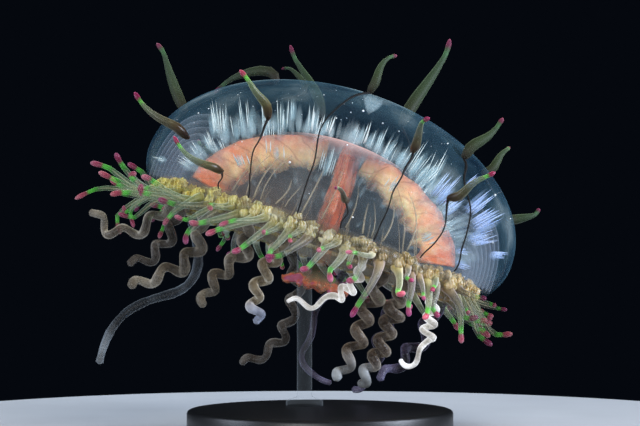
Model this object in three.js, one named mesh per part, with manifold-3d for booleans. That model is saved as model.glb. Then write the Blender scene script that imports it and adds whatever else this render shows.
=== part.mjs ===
// Flower hat jelly, Olindias formosus, life size, leaning and trailing as it swims,
// held up by a plain display stand. Millimetres, +Z up, the viewer on the -Y side.
// The origin is the centre of the base's underside.

import * as THREE from 'three';
import { mergeVertices } from 'three/addons/utils/BufferGeometryUtils.js';
import Module from 'manifold-3d';

const radians = THREE.MathUtils.degToRad;
const wasm = await Module();
wasm.setup();

// ---- Driving dimensions -------------------------------------------------------------------

const gap = 0.3; // left between pieces that touch

// The bell, in its own frame: the axis is Z and the margin lies in the plane Z = 0.
const bell = {
  radius: 60, // at the widest circle
  widestAt: 8.3, // height of that circle
  dome: 37.6, // from the widest circle up to the apex
  skirt: 30, // half height of the curve that the side follows below it
  hem: 2.4, // how far the side goes on below the margin plane
  sway: 0.05, // how far the outside shifts to the right for each millimetre of height
  cavityRadius: 44.5,
  cavityHeight: 29.5,
  sides: 32,
};

// How it swims: the margin's middle above the table, and the lean of its axis.
const swim = {
  height: 62,
  leanRight: radians(19),
  leanAway: radians(4),
};

const velum = { outer: 44.4, inner: 36.5, top: -3.4, drop: 2.6, thickness: 0.9 };

const margin = {
  inner: 44.8,
  outer: 52.5,
  depth: 6,
  pieces: 8,
  stepsPerPiece: 4,
  clubsPerPiece: 7,
};

// The clubs that grow from the band, in two rows. Each leaves its root straight out and a
// little down, by these shares of its length, before it bends over to its tip.
const shortClub = {
  rows: [1.6, 2.8], // in from the band's outer edge
  root: 0.85, // share of the band's depth
  straightOut: 0.34,
  dip: 0.16,
  stations: [[0, 1.15], [0.62, 0.85], [0.84, 1.15], [1, 0.6]],
  sides: 4,
};

// The clubs on the bell's outside. The root stands square on the bell for this share of the
// length before it bends over to the tip.
const longClub = {
  upright: 0.38,
  stations: [[0, 0.8], [0.15, 1.45], [0.42, 1.33], [0.78, 0.8], [0.9, 0.95], [1, 0.5]],
  sides: 5,
};

// A feeler's radius is a little over its stated one at the root and tapers to the tip. Where
// it has two lengths, it is divided between these shares of the whole.
const feelerForm = {
  root: 1.08,
  taper: 0.25,
  joint: [0.491, 0.509],
  sides: 4,
  stepsPerTurn: 6,
};

const gonad = {
  azimuths: [3, 93, 183, 273],
  start: 6.5,
  end: 43,
  depth: 12.5,
  thickness: 2.6,
  ruffle: 1.9,
  wave: 9,
  clearance: 0.6,
};

// The stomach tube hangs from the ceiling, a little off the axis, and the lips from its end.
const stomach = {
  offset: 1.2,
  swing: radians(3.4),
  length: 39.5,
  width: 3.6,
  waist: 2.6,
  sides: 8,
};
const lips = { drop: 7.5, radius: 9, thickness: 1.3, lobes: 4, frills: 12, sides: 24 };

const stand = {
  baseRadius: 42,
  baseHeight: 6,
  edge: 1,
  rodRadius: 2.4,
  collarRadius: 6,
  collarHeight: 3,
  rodAt: [-5, 17],
  sides: 32,
};

// ---- Shapes of the body -------------------------------------------------------------------

/** The turn that leans the bell, and the way back from the table's directions to the bell's. */
const lean = new THREE.Quaternion().setFromEuler(
  new THREE.Euler(-swim.leanAway, swim.leanRight, 0, 'YXZ'));
const unlean = lean.clone().invert();

/** A shift given along the table's axes, turned into the bell's frame. */
function drift([x, y, z]) {
  return new THREE.Vector3(x, y, z).applyQuaternion(unlean);
}

/** A point in the bell's frame; azimuth 0 faces the viewer and 90 is to the right. */
function polar(radius, azimuth, height) {
  return new THREE.Vector3(
    radius * Math.sin(radians(azimuth)), -radius * Math.cos(radians(azimuth)), height);
}

/** The bell's outer curve as radius and height, by latitude from the widest circle. */
function outerCurve(latitude) {
  const rise = latitude >= 0 ? bell.dome : bell.skirt;
  return new THREE.Vector2(
    bell.radius * Math.cos(radians(latitude)),
    bell.widestAt + rise * Math.sin(radians(latitude)));
}

/** How far the bell's outside is shifted to the right at a height over the margin. */
function sway(height) {
  return bell.sway * Math.max(0, height);
}

/** A point on the bell's outer surface. */
function outerPoint(azimuth, latitude) {
  const { x: radius, y: height } = outerCurve(latitude);
  const point = polar(radius, azimuth, height);
  point.x += sway(height);
  return point;
}

/** The direction straight out of the bell's outer surface. */
function outerNormal(azimuth, latitude) {
  const rise = latitude >= 0 ? bell.dome : bell.skirt;
  return polar(
    Math.cos(radians(latitude)) / bell.radius, azimuth,
    Math.sin(radians(latitude)) / rise).normalize();
}

/** Height of the cavity's ceiling at a distance from the axis. */
function ceiling(radius) {
  return bell.cavityHeight * Math.sqrt(1 - (radius / bell.cavityRadius) ** 2);
}

/** A profile of radii and heights turned about Z. */
function lathe(profile, sides) {
  return new THREE.LatheGeometry(profile, sides).rotateX(Math.PI / 2);
}

/**
 * A closed tube along a curve: a cylinder bent so that each of its rings stands across the
 * curve. Each station gives a ring's share of the length and its radius.
 */
function tube(curve, stations, sides, divisions) {
  const geometry = new THREE.CylinderGeometry(1, 1, 1, sides, stations.length - 1);
  const frames = curve.computeFrenetFrames(divisions, false);
  const position = geometry.attributes.position;
  const vertex = new THREE.Vector3();
  for (let i = 0; i < position.count; i++) {
    vertex.fromBufferAttribute(position, i);
    const ring = Math.round((0.5 - vertex.y) * (stations.length - 1));
    const [share, radius] = stations[ring];
    const frame = Math.round(share * divisions);
    const point = curve.getPointAt(share);
    point.addScaledVector(frames.normals[frame], vertex.x * radius);
    point.addScaledVector(frames.binormals[frame], vertex.z * radius);
    position.setXYZ(i, point.x, point.y, point.z);
  }
  return outward(geometry);
}

/** Turns a closed geometry's faces round where its volume comes out negative. */
function outward(geometry) {
  const position = geometry.attributes.position;
  const index = geometry.index.array;
  const [a, b, c] = [new THREE.Vector3(), new THREE.Vector3(), new THREE.Vector3()];
  let volume = 0;
  for (let i = 0; i < index.length; i += 3) {
    a.fromBufferAttribute(position, index[i]);
    b.fromBufferAttribute(position, index[i + 1]);
    c.fromBufferAttribute(position, index[i + 2]);
    volume += a.dot(b.cross(c));
  }
  if (volume < 0) {
    for (let i = 0; i < index.length; i += 3) {
      [index[i], index[i + 1]] = [index[i + 1], index[i]];
    }
  }
  return geometry;
}

// ---- Booleans -----------------------------------------------------------------------------

function toSolid(geometry) {
  const bare = geometry.clone();
  bare.deleteAttribute('normal');
  bare.deleteAttribute('uv');
  const merged = mergeVertices(bare, 1e-4);
  return new wasm.Manifold(new wasm.Mesh({
    numProp: 3,
    vertProperties: Float32Array.from(merged.attributes.position.array),
    triVerts: Uint32Array.from(merged.index.array),
  }));
}

function fromSolid(solid) {
  const mesh = solid.getMesh();
  const geometry = new THREE.BufferGeometry();
  geometry.setAttribute('position', new THREE.BufferAttribute(mesh.vertProperties, mesh.numProp));
  geometry.setIndex(new THREE.BufferAttribute(mesh.triVerts, 1));
  geometry.computeVertexNormals();
  return geometry;
}

// ---- Materials and nodes ------------------------------------------------------------------

const finish = {
  jelly: { color: '#8fa9bf', roughness: 0.15, transparent: true, opacity: 0.35 },
  veil: { color: '#a7a9a4', roughness: 0.3, transparent: true, opacity: 0.5 },
  band: { color: '#c9b377', roughness: 0.5 },
  gonad: { color: '#f0936a', roughness: 0.6 },
  stomach: { color: '#9d9a74', roughness: 0.5 },
  lips: { color: '#c8385c', roughness: 0.5 },
  club: { color: '#6f7a4e', roughness: 0.4 },
  feeler: { color: '#8d8173', roughness: 0.4 },
  base: { color: '#1d2024', roughness: 0.45 },
  acrylic: { color: '#dfe8ee', roughness: 0.05, transparent: true, opacity: 0.4 },
};

const part = new THREE.Group();
const body = new THREE.Group();
body.position.set(0, 0, swim.height);
body.quaternion.copy(lean);
part.add(body);

function addNode(parent, name, geometry, finishName) {
  const mesh = new THREE.Mesh(geometry, new THREE.MeshStandardMaterial(finish[finishName]));
  mesh.name = name;
  parent.add(mesh);
}

// ---- Bell and velum -----------------------------------------------------------------------

/**
 * A thick dome: down the outside past the margin, round the hem that hides the margin band's
 * outer side, and back up the inside to the axis.
 */
function makeBell() {
  const outerSteps = 10;
  const innerSteps = 6;
  const lowest = -THREE.MathUtils.radToDeg(Math.asin((bell.widestAt + bell.hem) / bell.skirt));
  const groove = margin.outer + 1.5 * gap;
  const profile = [];
  for (let i = 0; i <= outerSteps; i++) {
    profile.push(outerCurve(THREE.MathUtils.lerp(90, lowest, i / outerSteps)));
  }
  profile[0].x = 0;
  profile.push(new THREE.Vector2(groove + 0.8, -bell.hem - 1));
  profile.push(new THREE.Vector2(groove, -bell.hem));
  profile.push(new THREE.Vector2(groove, 0));
  for (let i = 0; i <= innerSteps; i++) {
    const radius = bell.cavityRadius * Math.cos((Math.PI / 2) * (i / innerSteps));
    profile.push(new THREE.Vector2(radius, ceiling(radius)));
  }
  profile.at(-1).x = 0;
  const geometry = lathe(profile, bell.sides);
  const position = geometry.attributes.position;
  for (let i = 0; i < position.count; i++) {
    if (i % profile.length <= outerSteps) {
      position.setX(i, position.getX(i) + sway(position.getZ(i)));
    }
  }
  return outward(geometry);
}

/** The thin shelf of skin that narrows the bell's mouth. */
function makeVelum() {
  const { outer, inner, top, drop, thickness } = velum;
  const profile = [
    new THREE.Vector2(outer, top),
    new THREE.Vector2(outer, top - thickness),
    new THREE.Vector2(inner, top - drop - thickness),
    new THREE.Vector2(inner, top - drop),
    new THREE.Vector2(outer, top),
  ];
  return outward(lathe(profile, bell.sides));
}

// ---- Margin band with its short clubs -----------------------------------------------------

/** The band's cross-section: flat under the bell, rounded below. */
function bandProfile() {
  const { inner, outer, depth } = margin;
  const top = -gap;
  const width = outer - inner;
  return [
    new THREE.Vector2(inner, top),
    new THREE.Vector2(outer, top),
    new THREE.Vector2(outer, top - 0.65 * depth),
    new THREE.Vector2(outer - 0.25 * width, top - depth),
    new THREE.Vector2(inner + 0.2 * width, top - depth),
    new THREE.Vector2(inner, top - 0.7 * depth),
    new THREE.Vector2(inner, top),
  ];
}

/** A wedge from the axis outward that covers one piece's share of the circle. */
function wedge(from, to) {
  const reach = 2 * bell.radius;
  const inset = THREE.MathUtils.radToDeg((gap / 2) / margin.outer);
  const shape = new THREE.Shape([
    new THREE.Vector2(0, 0),
    new THREE.Vector2(...polar(reach, from + inset, 0).toArray().slice(0, 2)),
    new THREE.Vector2(...polar(reach, to - inset, 0).toArray().slice(0, 2)),
  ]);
  return new THREE.ExtrudeGeometry(shape, { depth: 4 * margin.depth, bevelEnabled: false })
    .translate(0, 0, -3 * margin.depth);
}

/**
 * The shift from a short club's root to its tip, along the table's axes. The water carries
 * the front ones to the left; those on the left are the longest and stream straight out,
 * and those that face the viewer are longer than those behind.
 */
function shortClubReach(azimuth, index) {
  const left = Math.max(0, -Math.sin(radians(azimuth))) ** 2;
  const front = Math.cos(radians(azimuth));
  const facing = Math.max(0, Math.cos(radians(azimuth + 15))) ** 2;
  const length = 13 + 6 * left + 4 * facing
    + 2.4 * Math.sin(2.4 * index) + 1.4 * Math.sin(5.1 * index);
  const flare = 0.62 + 0.45 * left + 0.2 * Math.sin(1.7 * index);
  const trail = -0.1 - 0.42 * front + 0.12 * Math.sin(3.3 * index);
  const fall = 0.62 - 0.85 * left + 0.2 * Math.sin(4.3 * index);
  const out = polar(1, azimuth, 0).applyQuaternion(lean);
  return new THREE.Vector3(trail, 0, -fall).addScaledVector(out, flare).setLength(length);
}

function makeShortClub(azimuth, index) {
  const inset = shortClub.rows[index % 2];
  const root = polar(margin.outer - inset, azimuth, -shortClub.root * margin.depth);
  const reach = shortClubReach(azimuth, index).applyQuaternion(unlean);
  const length = reach.length();
  const bend = polar(shortClub.straightOut * length, azimuth, -shortClub.dip * length);
  const curve = new THREE.QuadraticBezierCurve3(
    root, root.clone().add(bend), root.clone().add(reach));
  return tube(curve, shortClub.stations, shortClub.sides, 20);
}

function makeMarginPiece(number) {
  const span = 360 / margin.pieces;
  const from = (number - 1) * span;
  let solid = toSolid(outward(lathe(bandProfile(), margin.pieces * margin.stepsPerPiece)))
    .intersect(toSolid(outward(mergeVertices(wedge(from, from + span)))));
  for (let i = 0; i < margin.clubsPerPiece; i++) {
    const azimuth = from + ((i + 0.5) / margin.clubsPerPiece) * span;
    const index = (number - 1) * margin.clubsPerPiece + i;
    solid = solid.add(toSolid(makeShortClub(azimuth, index)));
  }
  return fromSolid(solid);
}

// ---- Gonads, stomach and lips -------------------------------------------------------------

/** A ruffled curtain that hangs from the cavity's ceiling along one radial canal. */
function makeGonad(azimuth) {
  const along = 13;
  const down = 2;
  const geometry = new THREE.BoxGeometry(1, 1, 1, along, 1, down);
  const position = geometry.attributes.position;
  const side = polar(1, azimuth + 90, 0);
  for (let i = 0; i < position.count; i++) {
    const share = position.getX(i) + 0.5;
    const hang = 0.5 - position.getZ(i);
    const radius = THREE.MathUtils.lerp(gonad.start, gonad.end, share);
    const taper = 1 - 0.25 * share ** 3 - 0.3 * (1 - share) ** 3;
    const fold = Math.sin((2 * Math.PI * radius) / gonad.wave) * gonad.ruffle * hang;
    const into = new THREE.Vector2(
      radius / bell.cavityRadius ** 2, ceiling(radius) / bell.cavityHeight ** 2).normalize();
    const depth = gonad.clearance + hang * gonad.depth * taper;
    const point = polar(
      radius - into.x * depth, azimuth, ceiling(radius) - into.y * depth);
    point.addScaledVector(side, fold + position.getY(i) * gonad.thickness * (1 - 0.3 * hang));
    position.setXYZ(i, point.x, point.y, point.z);
  }
  return outward(geometry);
}

/** The stomach tube, from the ceiling at height 0 down to the throat. */
function makeStomach() {
  const { length, width, waist, sides } = stomach;
  const profile = [
    new THREE.Vector2(0, -2 * gap),
    new THREE.Vector2(0.9 * width, -4 * gap),
    new THREE.Vector2(width, -0.25 * length),
    new THREE.Vector2(waist, -0.65 * length),
    new THREE.Vector2(waist, -length),
    new THREE.Vector2(0, -length),
  ];
  return outward(lathe(profile, sides));
}

/** Four frilled lips: a thin cup that flares, with its rim thrown into lobes. */
function makeLips() {
  const { drop, radius, thickness, lobes, frills, sides } = lips;
  const top = -stomach.length - gap;
  const profile = [
    new THREE.Vector2(0, top),
    new THREE.Vector2(stomach.waist, top),
    new THREE.Vector2(0.62 * radius, top - 0.35 * drop),
    new THREE.Vector2(radius, top - drop + thickness),
    new THREE.Vector2(0.97 * radius, top - drop),
    new THREE.Vector2(0.55 * radius, top - 0.35 * drop - thickness),
    new THREE.Vector2(0, top - thickness),
  ];
  const geometry = lathe(profile, sides);
  const position = geometry.attributes.position;
  for (let i = 0; i < position.count; i++) {
    const [x, y, z] = [position.getX(i), position.getY(i), position.getZ(i)];
    const angle = Math.atan2(y, x);
    const share = Math.hypot(x, y) / radius;
    const spread = 1 + 0.22 * share ** 2 * Math.cos(lobes * angle);
    const frill = 1.1 * share ** 3 * Math.cos(frills * angle);
    position.setXYZ(i, x * spread, y * spread, z + frill);
  }
  return outward(geometry);
}

// ---- Long clubs on the bell's outside -----------------------------------------------------

// Each grows from the bell at an azimuth and latitude in degrees; its reach is the shift from
// root to tip along the table's axes, and size scales its thickness.
const longClubs = [
  { name: 'club_1', azimuth: -29, latitude: 24, reach: [-7, -9, 14], size: 1 },
  { name: 'club_2', azimuth: -8, latitude: 78, reach: [8, 4, 13], size: 0.95 },
  { name: 'club_3', azimuth: 19, latitude: 32, reach: [3, -10, 10], size: 1 },
  { name: 'club_4', azimuth: 33, latitude: 16, reach: [13, -8, 7], size: 1 },
  { name: 'club_5', azimuth: 4, latitude: -1, reach: [-5, -10, 4], size: 0.7 },
  { name: 'club_6', azimuth: -34, latitude: -7, reach: [-14, -8, 9], size: 0.9 },
  { name: 'club_7', azimuth: -52, latitude: 5, reach: [-16, -5, 13], size: 1.05 },
  { name: 'club_8', azimuth: -101, latitude: 23, reach: [-8, 5, 23], size: 1.2 },
  { name: 'club_9', azimuth: -99, latitude: 59, reach: [-20, 6, -1], size: 1.1 },
  { name: 'club_10', azimuth: -159, latitude: 51, reach: [-12, 12, 25], size: 1.2 },
  { name: 'club_11', azimuth: -130, latitude: 62, reach: [-6, 8, 10], size: 0.7 },
  { name: 'club_12', azimuth: 152, latitude: 66, reach: [18, 12, 28], size: 1.4 },
  { name: 'club_13', azimuth: 46, latitude: 42, reach: [12, 4, 12], size: 1.15 },
  { name: 'club_14', azimuth: 103, latitude: 45, reach: [10, 6, 9], size: 1 },
  { name: 'club_15', azimuth: 100, latitude: 24, reach: [11, 2, 2], size: 1.05 },
  { name: 'club_16', azimuth: 148, latitude: 14, reach: [9, 13, 6], size: 1 },
  { name: 'club_17', azimuth: -140, latitude: 10, reach: [-11, 12, 8], size: 1 },
];

/** The line that a long club follows: straight out of the bell, then over to its tip. */
function longClubCurve({ azimuth, latitude, reach }) {
  const normal = outerNormal(azimuth, latitude);
  const root = outerPoint(azimuth, latitude).addScaledVector(normal, gap);
  const shift = drift(reach);
  const bend = root.clone().addScaledVector(normal, longClub.upright * shift.length());
  return new THREE.QuadraticBezierCurve3(root, bend, root.clone().add(shift));
}

function makeLongClub(club) {
  const stations = longClub.stations.map(([share, radius]) => [share, club.size * radius]);
  return tube(longClubCurve(club), stations, longClub.sides, 20);
}

// ---- Coiled feelers -----------------------------------------------------------------------

// Each hangs from the band at an azimuth. Its middle line is a cubic curve whose handles and
// tip are shifts from the root along the table's axes, and the feeler winds about that line.
// One whose coils are bunched towards its root has made the second share of its turns by the
// first share of its length.
const feelers = [
  { name: 'feeler_1', azimuth: -50, first: [2, -2, -17], second: [-12, 1, -19],
    tip: [-21, 0, -23], turns: 4, coil: 2.3, thick: 1.7, lengths: 2 },
  { name: 'feeler_2', azimuth: -120, first: [8, 4, -43], second: [-26, 2, -13],
    tip: [-30, 0, -47], turns: 1.5, coil: 0.9, thick: 1.6, lengths: 2 },
  { name: 'feeler_3', azimuth: -27, first: [3, -1, -11], second: [-12, 2, -14],
    tip: [-13, 0, -24], turns: 4, coil: 2.2, thick: 1.6, lengths: 2 },
  { name: 'feeler_4', azimuth: -12, first: [-2, -2, -7], second: [-11, 0, -14],
    tip: [-8, -1, -25], turns: 4.5, coil: 2.1, thick: 1.6, lengths: 2 },
  { name: 'feeler_5', azimuth: 18, first: [-1, 3, -10], second: [-12, 5, -14],
    tip: [-22, 6, -12], turns: 5, coil: 1.8, thick: 1.1, lengths: 1, bunched: [0.5, 0.7] },
  { name: 'feeler_6', azimuth: -172, first: [5, -6, -18], second: [-3, -10, -33],
    tip: [-16, -8, -36], turns: 5, coil: 2, thick: 1.6, lengths: 2 },
  { name: 'feeler_7', azimuth: 28, first: [-7, 2, -12], second: [-8, 4, -25],
    tip: [-14, 3, -32], turns: 5, coil: 2.4, thick: 1.7, lengths: 2 },
  { name: 'feeler_8', azimuth: 38, first: [-5, 2, -11], second: [-5, 4, -21],
    tip: [-14, 4, -31], turns: 6.5, coil: 2.3, thick: 1.7, lengths: 2 },
  { name: 'feeler_9', azimuth: 55, first: [-2, -1, -9], second: [-1, 1, -26],
    tip: [-10, 2, -21], turns: 4.5, coil: 2, thick: 1.15, lengths: 1, bunched: [0.55, 0.75] },
  { name: 'feeler_10', azimuth: 165, first: [-16, -4, -19], second: [-17, -8, -37],
    tip: [-5, -10, -36], turns: 2.5, coil: 1.3, thick: 1.2, lengths: 2 },
  { name: 'feeler_11', azimuth: 140, first: [-5, -2, -14], second: [-7, -6, -28],
    tip: [-14, -8, -32], turns: 3.5, coil: 2, thick: 1.45, lengths: 2 },
  { name: 'feeler_12', azimuth: 110, first: [-5, 0, -11], second: [-12, -4, -20],
    tip: [-20, -6, -24], turns: 3, coil: 2.3, thick: 1.7, lengths: 2 },
  { name: 'feeler_13', azimuth: -88, first: [-8, 0, -9], second: [-18, 2, -13],
    tip: [-25, 2, -2], turns: 3, coil: 2.3, thick: 1.45, lengths: 1 },
  { name: 'feeler_14', azimuth: -68, first: [-1, -1, -9], second: [-7, -2, -17],
    tip: [-15, -3, -18], turns: 3, coil: 2.2, thick: 1.45, lengths: 1 },
];

/** A curve that winds about a middle line, swelling out from it after the root. */
class WindingCurve extends THREE.Curve {
  constructor(middle, { turns, coil, bunched = [0.5, 0.5] }, from, to) {
    super();
    Object.assign(this, { middle, turns, coil, bunched, from, to });
  }

  /** The share of the turns made by a share of the length. */
  wound(at) {
    const [length, turns] = this.bunched;
    return at < length
      ? (at * turns) / length
      : THREE.MathUtils.mapLinear(at, length, 1, turns, 1);
  }

  getPoint(share, target = new THREE.Vector3()) {
    const at = THREE.MathUtils.lerp(this.from, this.to, share);
    const along = this.middle.getTangentAt(at);
    const away = drift([0, 1, 0]);
    const across = new THREE.Vector3().crossVectors(along, away).normalize();
    away.crossVectors(across, along).normalize();
    const swell = this.coil * Math.min(1, 4 * at) * (1 - 0.35 * at);
    const angle = 2 * Math.PI * this.turns * this.wound(at);
    return target.copy(this.middle.getPointAt(at))
      .addScaledVector(across, swell * Math.sin(angle))
      .addScaledVector(away, swell * (1 - Math.cos(angle)) * 0.8);
  }
}

function feelerMiddle({ azimuth, first, second, tip, thick }) {
  const radius = margin.inner + 0.3 * (margin.outer - margin.inner);
  const root = polar(radius, azimuth, -margin.depth - 2 * gap - 0.6 * thick);
  return new THREE.CubicBezierCurve3(
    root,
    root.clone().add(drift(first)),
    root.clone().add(drift(second)),
    root.clone().add(drift(tip)));
}

function makeFeelerLength(feeler, from, to) {
  const { root, taper, sides, stepsPerTurn } = feelerForm;
  const steps = Math.ceil(feeler.turns * stepsPerTurn * (to - from)) + 1;
  const curve = new WindingCurve(feelerMiddle(feeler), feeler, from, to);
  curve.arcLengthDivisions = 100;
  const stations = [];
  for (let i = 0; i <= steps; i++) {
    const at = THREE.MathUtils.lerp(from, to, i / steps);
    stations.push([i / steps, root * feeler.thick * (1 - taper * at)]);
  }
  return tube(curve, stations, sides, steps);
}

// ---- Display stand ------------------------------------------------------------------------

/** A flat round base whose upper edge is eased. */
function makeBase() {
  const { baseRadius, baseHeight, edge, sides } = stand;
  const profile = [
    new THREE.Vector2(0, 0),
    new THREE.Vector2(baseRadius, 0),
    new THREE.Vector2(baseRadius, baseHeight - edge),
    new THREE.Vector2(baseRadius - edge, baseHeight),
    new THREE.Vector2(0, baseHeight),
  ];
  return outward(lathe(profile, sides));
}

/** An upright rod on a collar, cut off where it meets the ceiling of the bell. */
function makeRod() {
  const { baseHeight, rodRadius, collarRadius, collarHeight, rodAt } = stand;
  const reach = swim.height + bell.cavityHeight + 6;
  const profile = [
    new THREE.Vector2(0, baseHeight),
    new THREE.Vector2(collarRadius, baseHeight),
    new THREE.Vector2(collarRadius, baseHeight + 0.5 * collarHeight),
    new THREE.Vector2(rodRadius, baseHeight + collarHeight),
    new THREE.Vector2(rodRadius, reach),
    new THREE.Vector2(0, reach),
  ];
  const rod = lathe(profile, 12).translate(rodAt[0], rodAt[1], 0);
  const cutter = makeBell().translate(0, 0, -gap);
  cutter.applyQuaternion(lean).translate(0, 0, swim.height);
  const pieces = toSolid(outward(rod)).subtract(toSolid(cutter)).decompose();
  const height = (piece) => piece.boundingBox().min[2];
  return fromSolid(pieces.sort((a, b) => height(a) - height(b))[0]);
}

// ---- Assembly -----------------------------------------------------------------------------

addNode(body, 'bell', makeBell(), 'jelly');
addNode(body, 'velum', makeVelum(), 'veil');
for (let number = 1; number <= margin.pieces; number++) {
  addNode(body, `margin_${number}`, makeMarginPiece(number), 'band');
}
gonad.azimuths.forEach((azimuth, i) => {
  addNode(body, `gonad_${i + 1}`, makeGonad(azimuth), 'gonad');
});
const gullet = new THREE.Group();
gullet.position.set(stomach.offset, 0, ceiling(stomach.offset));
gullet.rotation.y = -stomach.swing;
body.add(gullet);
addNode(gullet, 'stomach', makeStomach(), 'stomach');
addNode(gullet, 'lips', makeLips(), 'lips');
for (const club of longClubs) {
  addNode(body, club.name, makeLongClub(club), 'club');
}
for (const feeler of feelers) {
  if (feeler.lengths === 1) {
    addNode(body, feeler.name, makeFeelerLength(feeler, 0, 1), 'feeler');
  } else {
    const [above, below] = feelerForm.joint;
    addNode(body, `${feeler.name}_upper`, makeFeelerLength(feeler, 0, above), 'feeler');
    addNode(body, `${feeler.name}_lower`, makeFeelerLength(feeler, below, 1), 'feeler');
  }
}
addNode(part, 'stand_base', makeBase(), 'base');
addNode(part, 'stand_rod', makeRod(), 'acrylic');

export default part;
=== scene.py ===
"""Flower hat jelly, Olindias formosus, as a life-size display model on a plain stand."""

import random
from math import asin, atan2, copysign, cos, degrees, hypot, pi, radians, sin, sqrt

import bmesh
import bpy
from mathutils import Matrix, Vector, noise


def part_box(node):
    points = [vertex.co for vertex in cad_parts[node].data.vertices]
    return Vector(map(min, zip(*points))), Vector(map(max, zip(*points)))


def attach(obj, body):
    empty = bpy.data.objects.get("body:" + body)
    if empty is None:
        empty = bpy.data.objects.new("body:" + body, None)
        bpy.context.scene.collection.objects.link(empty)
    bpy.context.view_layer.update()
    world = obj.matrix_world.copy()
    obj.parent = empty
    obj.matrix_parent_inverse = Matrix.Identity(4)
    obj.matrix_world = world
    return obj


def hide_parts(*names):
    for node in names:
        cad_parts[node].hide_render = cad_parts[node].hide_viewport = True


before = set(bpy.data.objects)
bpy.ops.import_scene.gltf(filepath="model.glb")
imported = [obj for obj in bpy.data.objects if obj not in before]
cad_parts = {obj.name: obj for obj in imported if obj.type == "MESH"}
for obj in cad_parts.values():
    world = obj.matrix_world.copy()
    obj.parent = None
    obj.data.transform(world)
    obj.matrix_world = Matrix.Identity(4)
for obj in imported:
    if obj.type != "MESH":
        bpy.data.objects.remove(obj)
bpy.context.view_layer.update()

# ---- Sizes, in millimetres in the bell's own frame: axis Z, margin plane Z = 0

BELL = dict(radius=60, widest_at=8.3, dome=37.6, skirt=30, hem=2.4, sway=0.05,
            cavity_radius=44.5, cavity_height=29.5)
SWIM = dict(height=62, lean_right=radians(19), lean_away=radians(4))
VELUM = dict(outer=44.4, inner=36.5, top=-3.4, drop=2.6, thickness=0.9)
MARGIN = dict(inner=44.8, outer=52.5, top=-0.3, depth=6)
GONAD = dict(start=6.5, end=43, depth=12.5, thickness=2.6, ruffle=1.9, wave=9, clearance=0.6)
STOMACH = dict(offset=1.2, swing=radians(3.4), length=39.5, width=3.6, waist=2.6)
LIPS = dict(drop=7.5, radius=9, thickness=1.3, lobes=4, frills=12)
STAND = dict(base_radius=42, base_height=6, edge=1, rod_radius=2.4, collar_radius=6,
             rod_at=(-5, 17))
GAP = 0.3
MILLIMETRE = 0.001

LEAN = (Matrix.Rotation(SWIM["lean_right"], 4, "Y")
        @ Matrix.Rotation(-SWIM["lean_away"], 4, "X"))
UNLEAN = LEAN.inverted()
PLACE = (Matrix.Translation((0, 0, SWIM["height"] * MILLIMETRE)) @ LEAN
         @ Matrix.Scale(MILLIMETRE, 4))
UPRIGHT = Matrix.Scale(MILLIMETRE, 4)

rng = random.Random(7)


# ---- Shapes of the body

def lerp(a, b, share):
    return a + (b - a) * share


def smooth(share):
    share = min(1, max(0, share))
    return share * share * (3 - 2 * share)


def drift(shift):
    """A shift given along the table's axes, turned into the bell's frame."""
    return UNLEAN @ Vector(shift)


def polar(radius, azimuth, height):
    """A point by distance, azimuth in degrees (0 faces the viewer, 90 is right) and height."""
    turn = radians(azimuth)
    return Vector((radius * sin(turn), -radius * cos(turn), height))


def dome_normal(azimuth, latitude, radius, rise):
    """The way out of a dome of that radius and rise."""
    up = radians(latitude)
    return polar(cos(up) / radius, azimuth, sin(up) / rise).normalized()


def outer_point(azimuth, latitude, sink=0.0):
    """A point on the bell's outside, or that far under it."""
    rise = BELL["dome"] if latitude >= 0 else BELL["skirt"]
    up = radians(latitude)
    height = BELL["widest_at"] + rise * sin(up)
    point = polar(BELL["radius"] * cos(up), azimuth, height)
    point.x += BELL["sway"] * max(0, height)
    return point - outer_normal(azimuth, latitude) * sink


def outer_normal(azimuth, latitude):
    rise = BELL["dome"] if latitude >= 0 else BELL["skirt"]
    return dome_normal(azimuth, latitude, BELL["radius"], rise)


def ceiling(radius):
    """Height of the cavity's ceiling at a distance from the axis."""
    return BELL["cavity_height"] * sqrt(max(0, 1 - (radius / BELL["cavity_radius"]) ** 2))


def lining_point(azimuth, latitude, proud=0.0):
    """A point on the cavity's wall, moved that far out into the jelly."""
    up = radians(latitude)
    point = polar(BELL["cavity_radius"] * cos(up), azimuth,
                  BELL["cavity_height"] * sin(up))
    return point + lining_normal(azimuth, latitude) * proud


def lining_normal(azimuth, latitude):
    return dome_normal(azimuth, latitude, BELL["cavity_radius"], BELL["cavity_height"])


def bezier(points, share):
    """A point on the Bezier curve of any number of handles."""
    points = [p.copy() for p in points]
    while len(points) > 1:
        points = [a.lerp(b, share) for a, b in zip(points, points[1:])]
    return points[0]


class Line:
    """A curve sampled finely, so that a share of its length gives a place and a direction."""

    def __init__(self, curve, count=240):
        self.points = [curve(i / count) for i in range(count + 1)]
        self.run = [0.0]
        for a, b in zip(self.points, self.points[1:]):
            self.run.append(self.run[-1] + (b - a).length)
        self.length = self.run[-1]

    def at(self, share):
        want = min(1, max(0, share)) * self.length
        low, high = 0, len(self.run) - 1
        while high - low > 1:
            middle = (low + high) // 2
            if self.run[middle] <= want:
                low = middle
            else:
                high = middle
        step = self.run[high] - self.run[low]
        part = (want - self.run[low]) / step if step else 0.0
        return (self.points[low].lerp(self.points[high], part),
                (self.points[high] - self.points[low]).normalized())


# ---- Modelling

def spun(profile, steps):
    """A profile of radii and heights spun about Z, closed, its faces pointing out."""
    bm = bmesh.new()
    verts = [bm.verts.new((r, 0, z)) for r, z in profile]
    edges = [bm.edges.new(pair) for pair in zip(verts, verts[1:])]
    bmesh.ops.spin(bm, geom=verts + edges, axis=(0, 0, 1), cent=(0, 0, 0), steps=steps,
                   angle=2 * pi, use_merge=True)
    bmesh.ops.remove_doubles(bm, verts=bm.verts[:], dist=1e-4)
    bmesh.ops.recalc_face_normals(bm, faces=bm.faces[:])
    return bm


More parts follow.
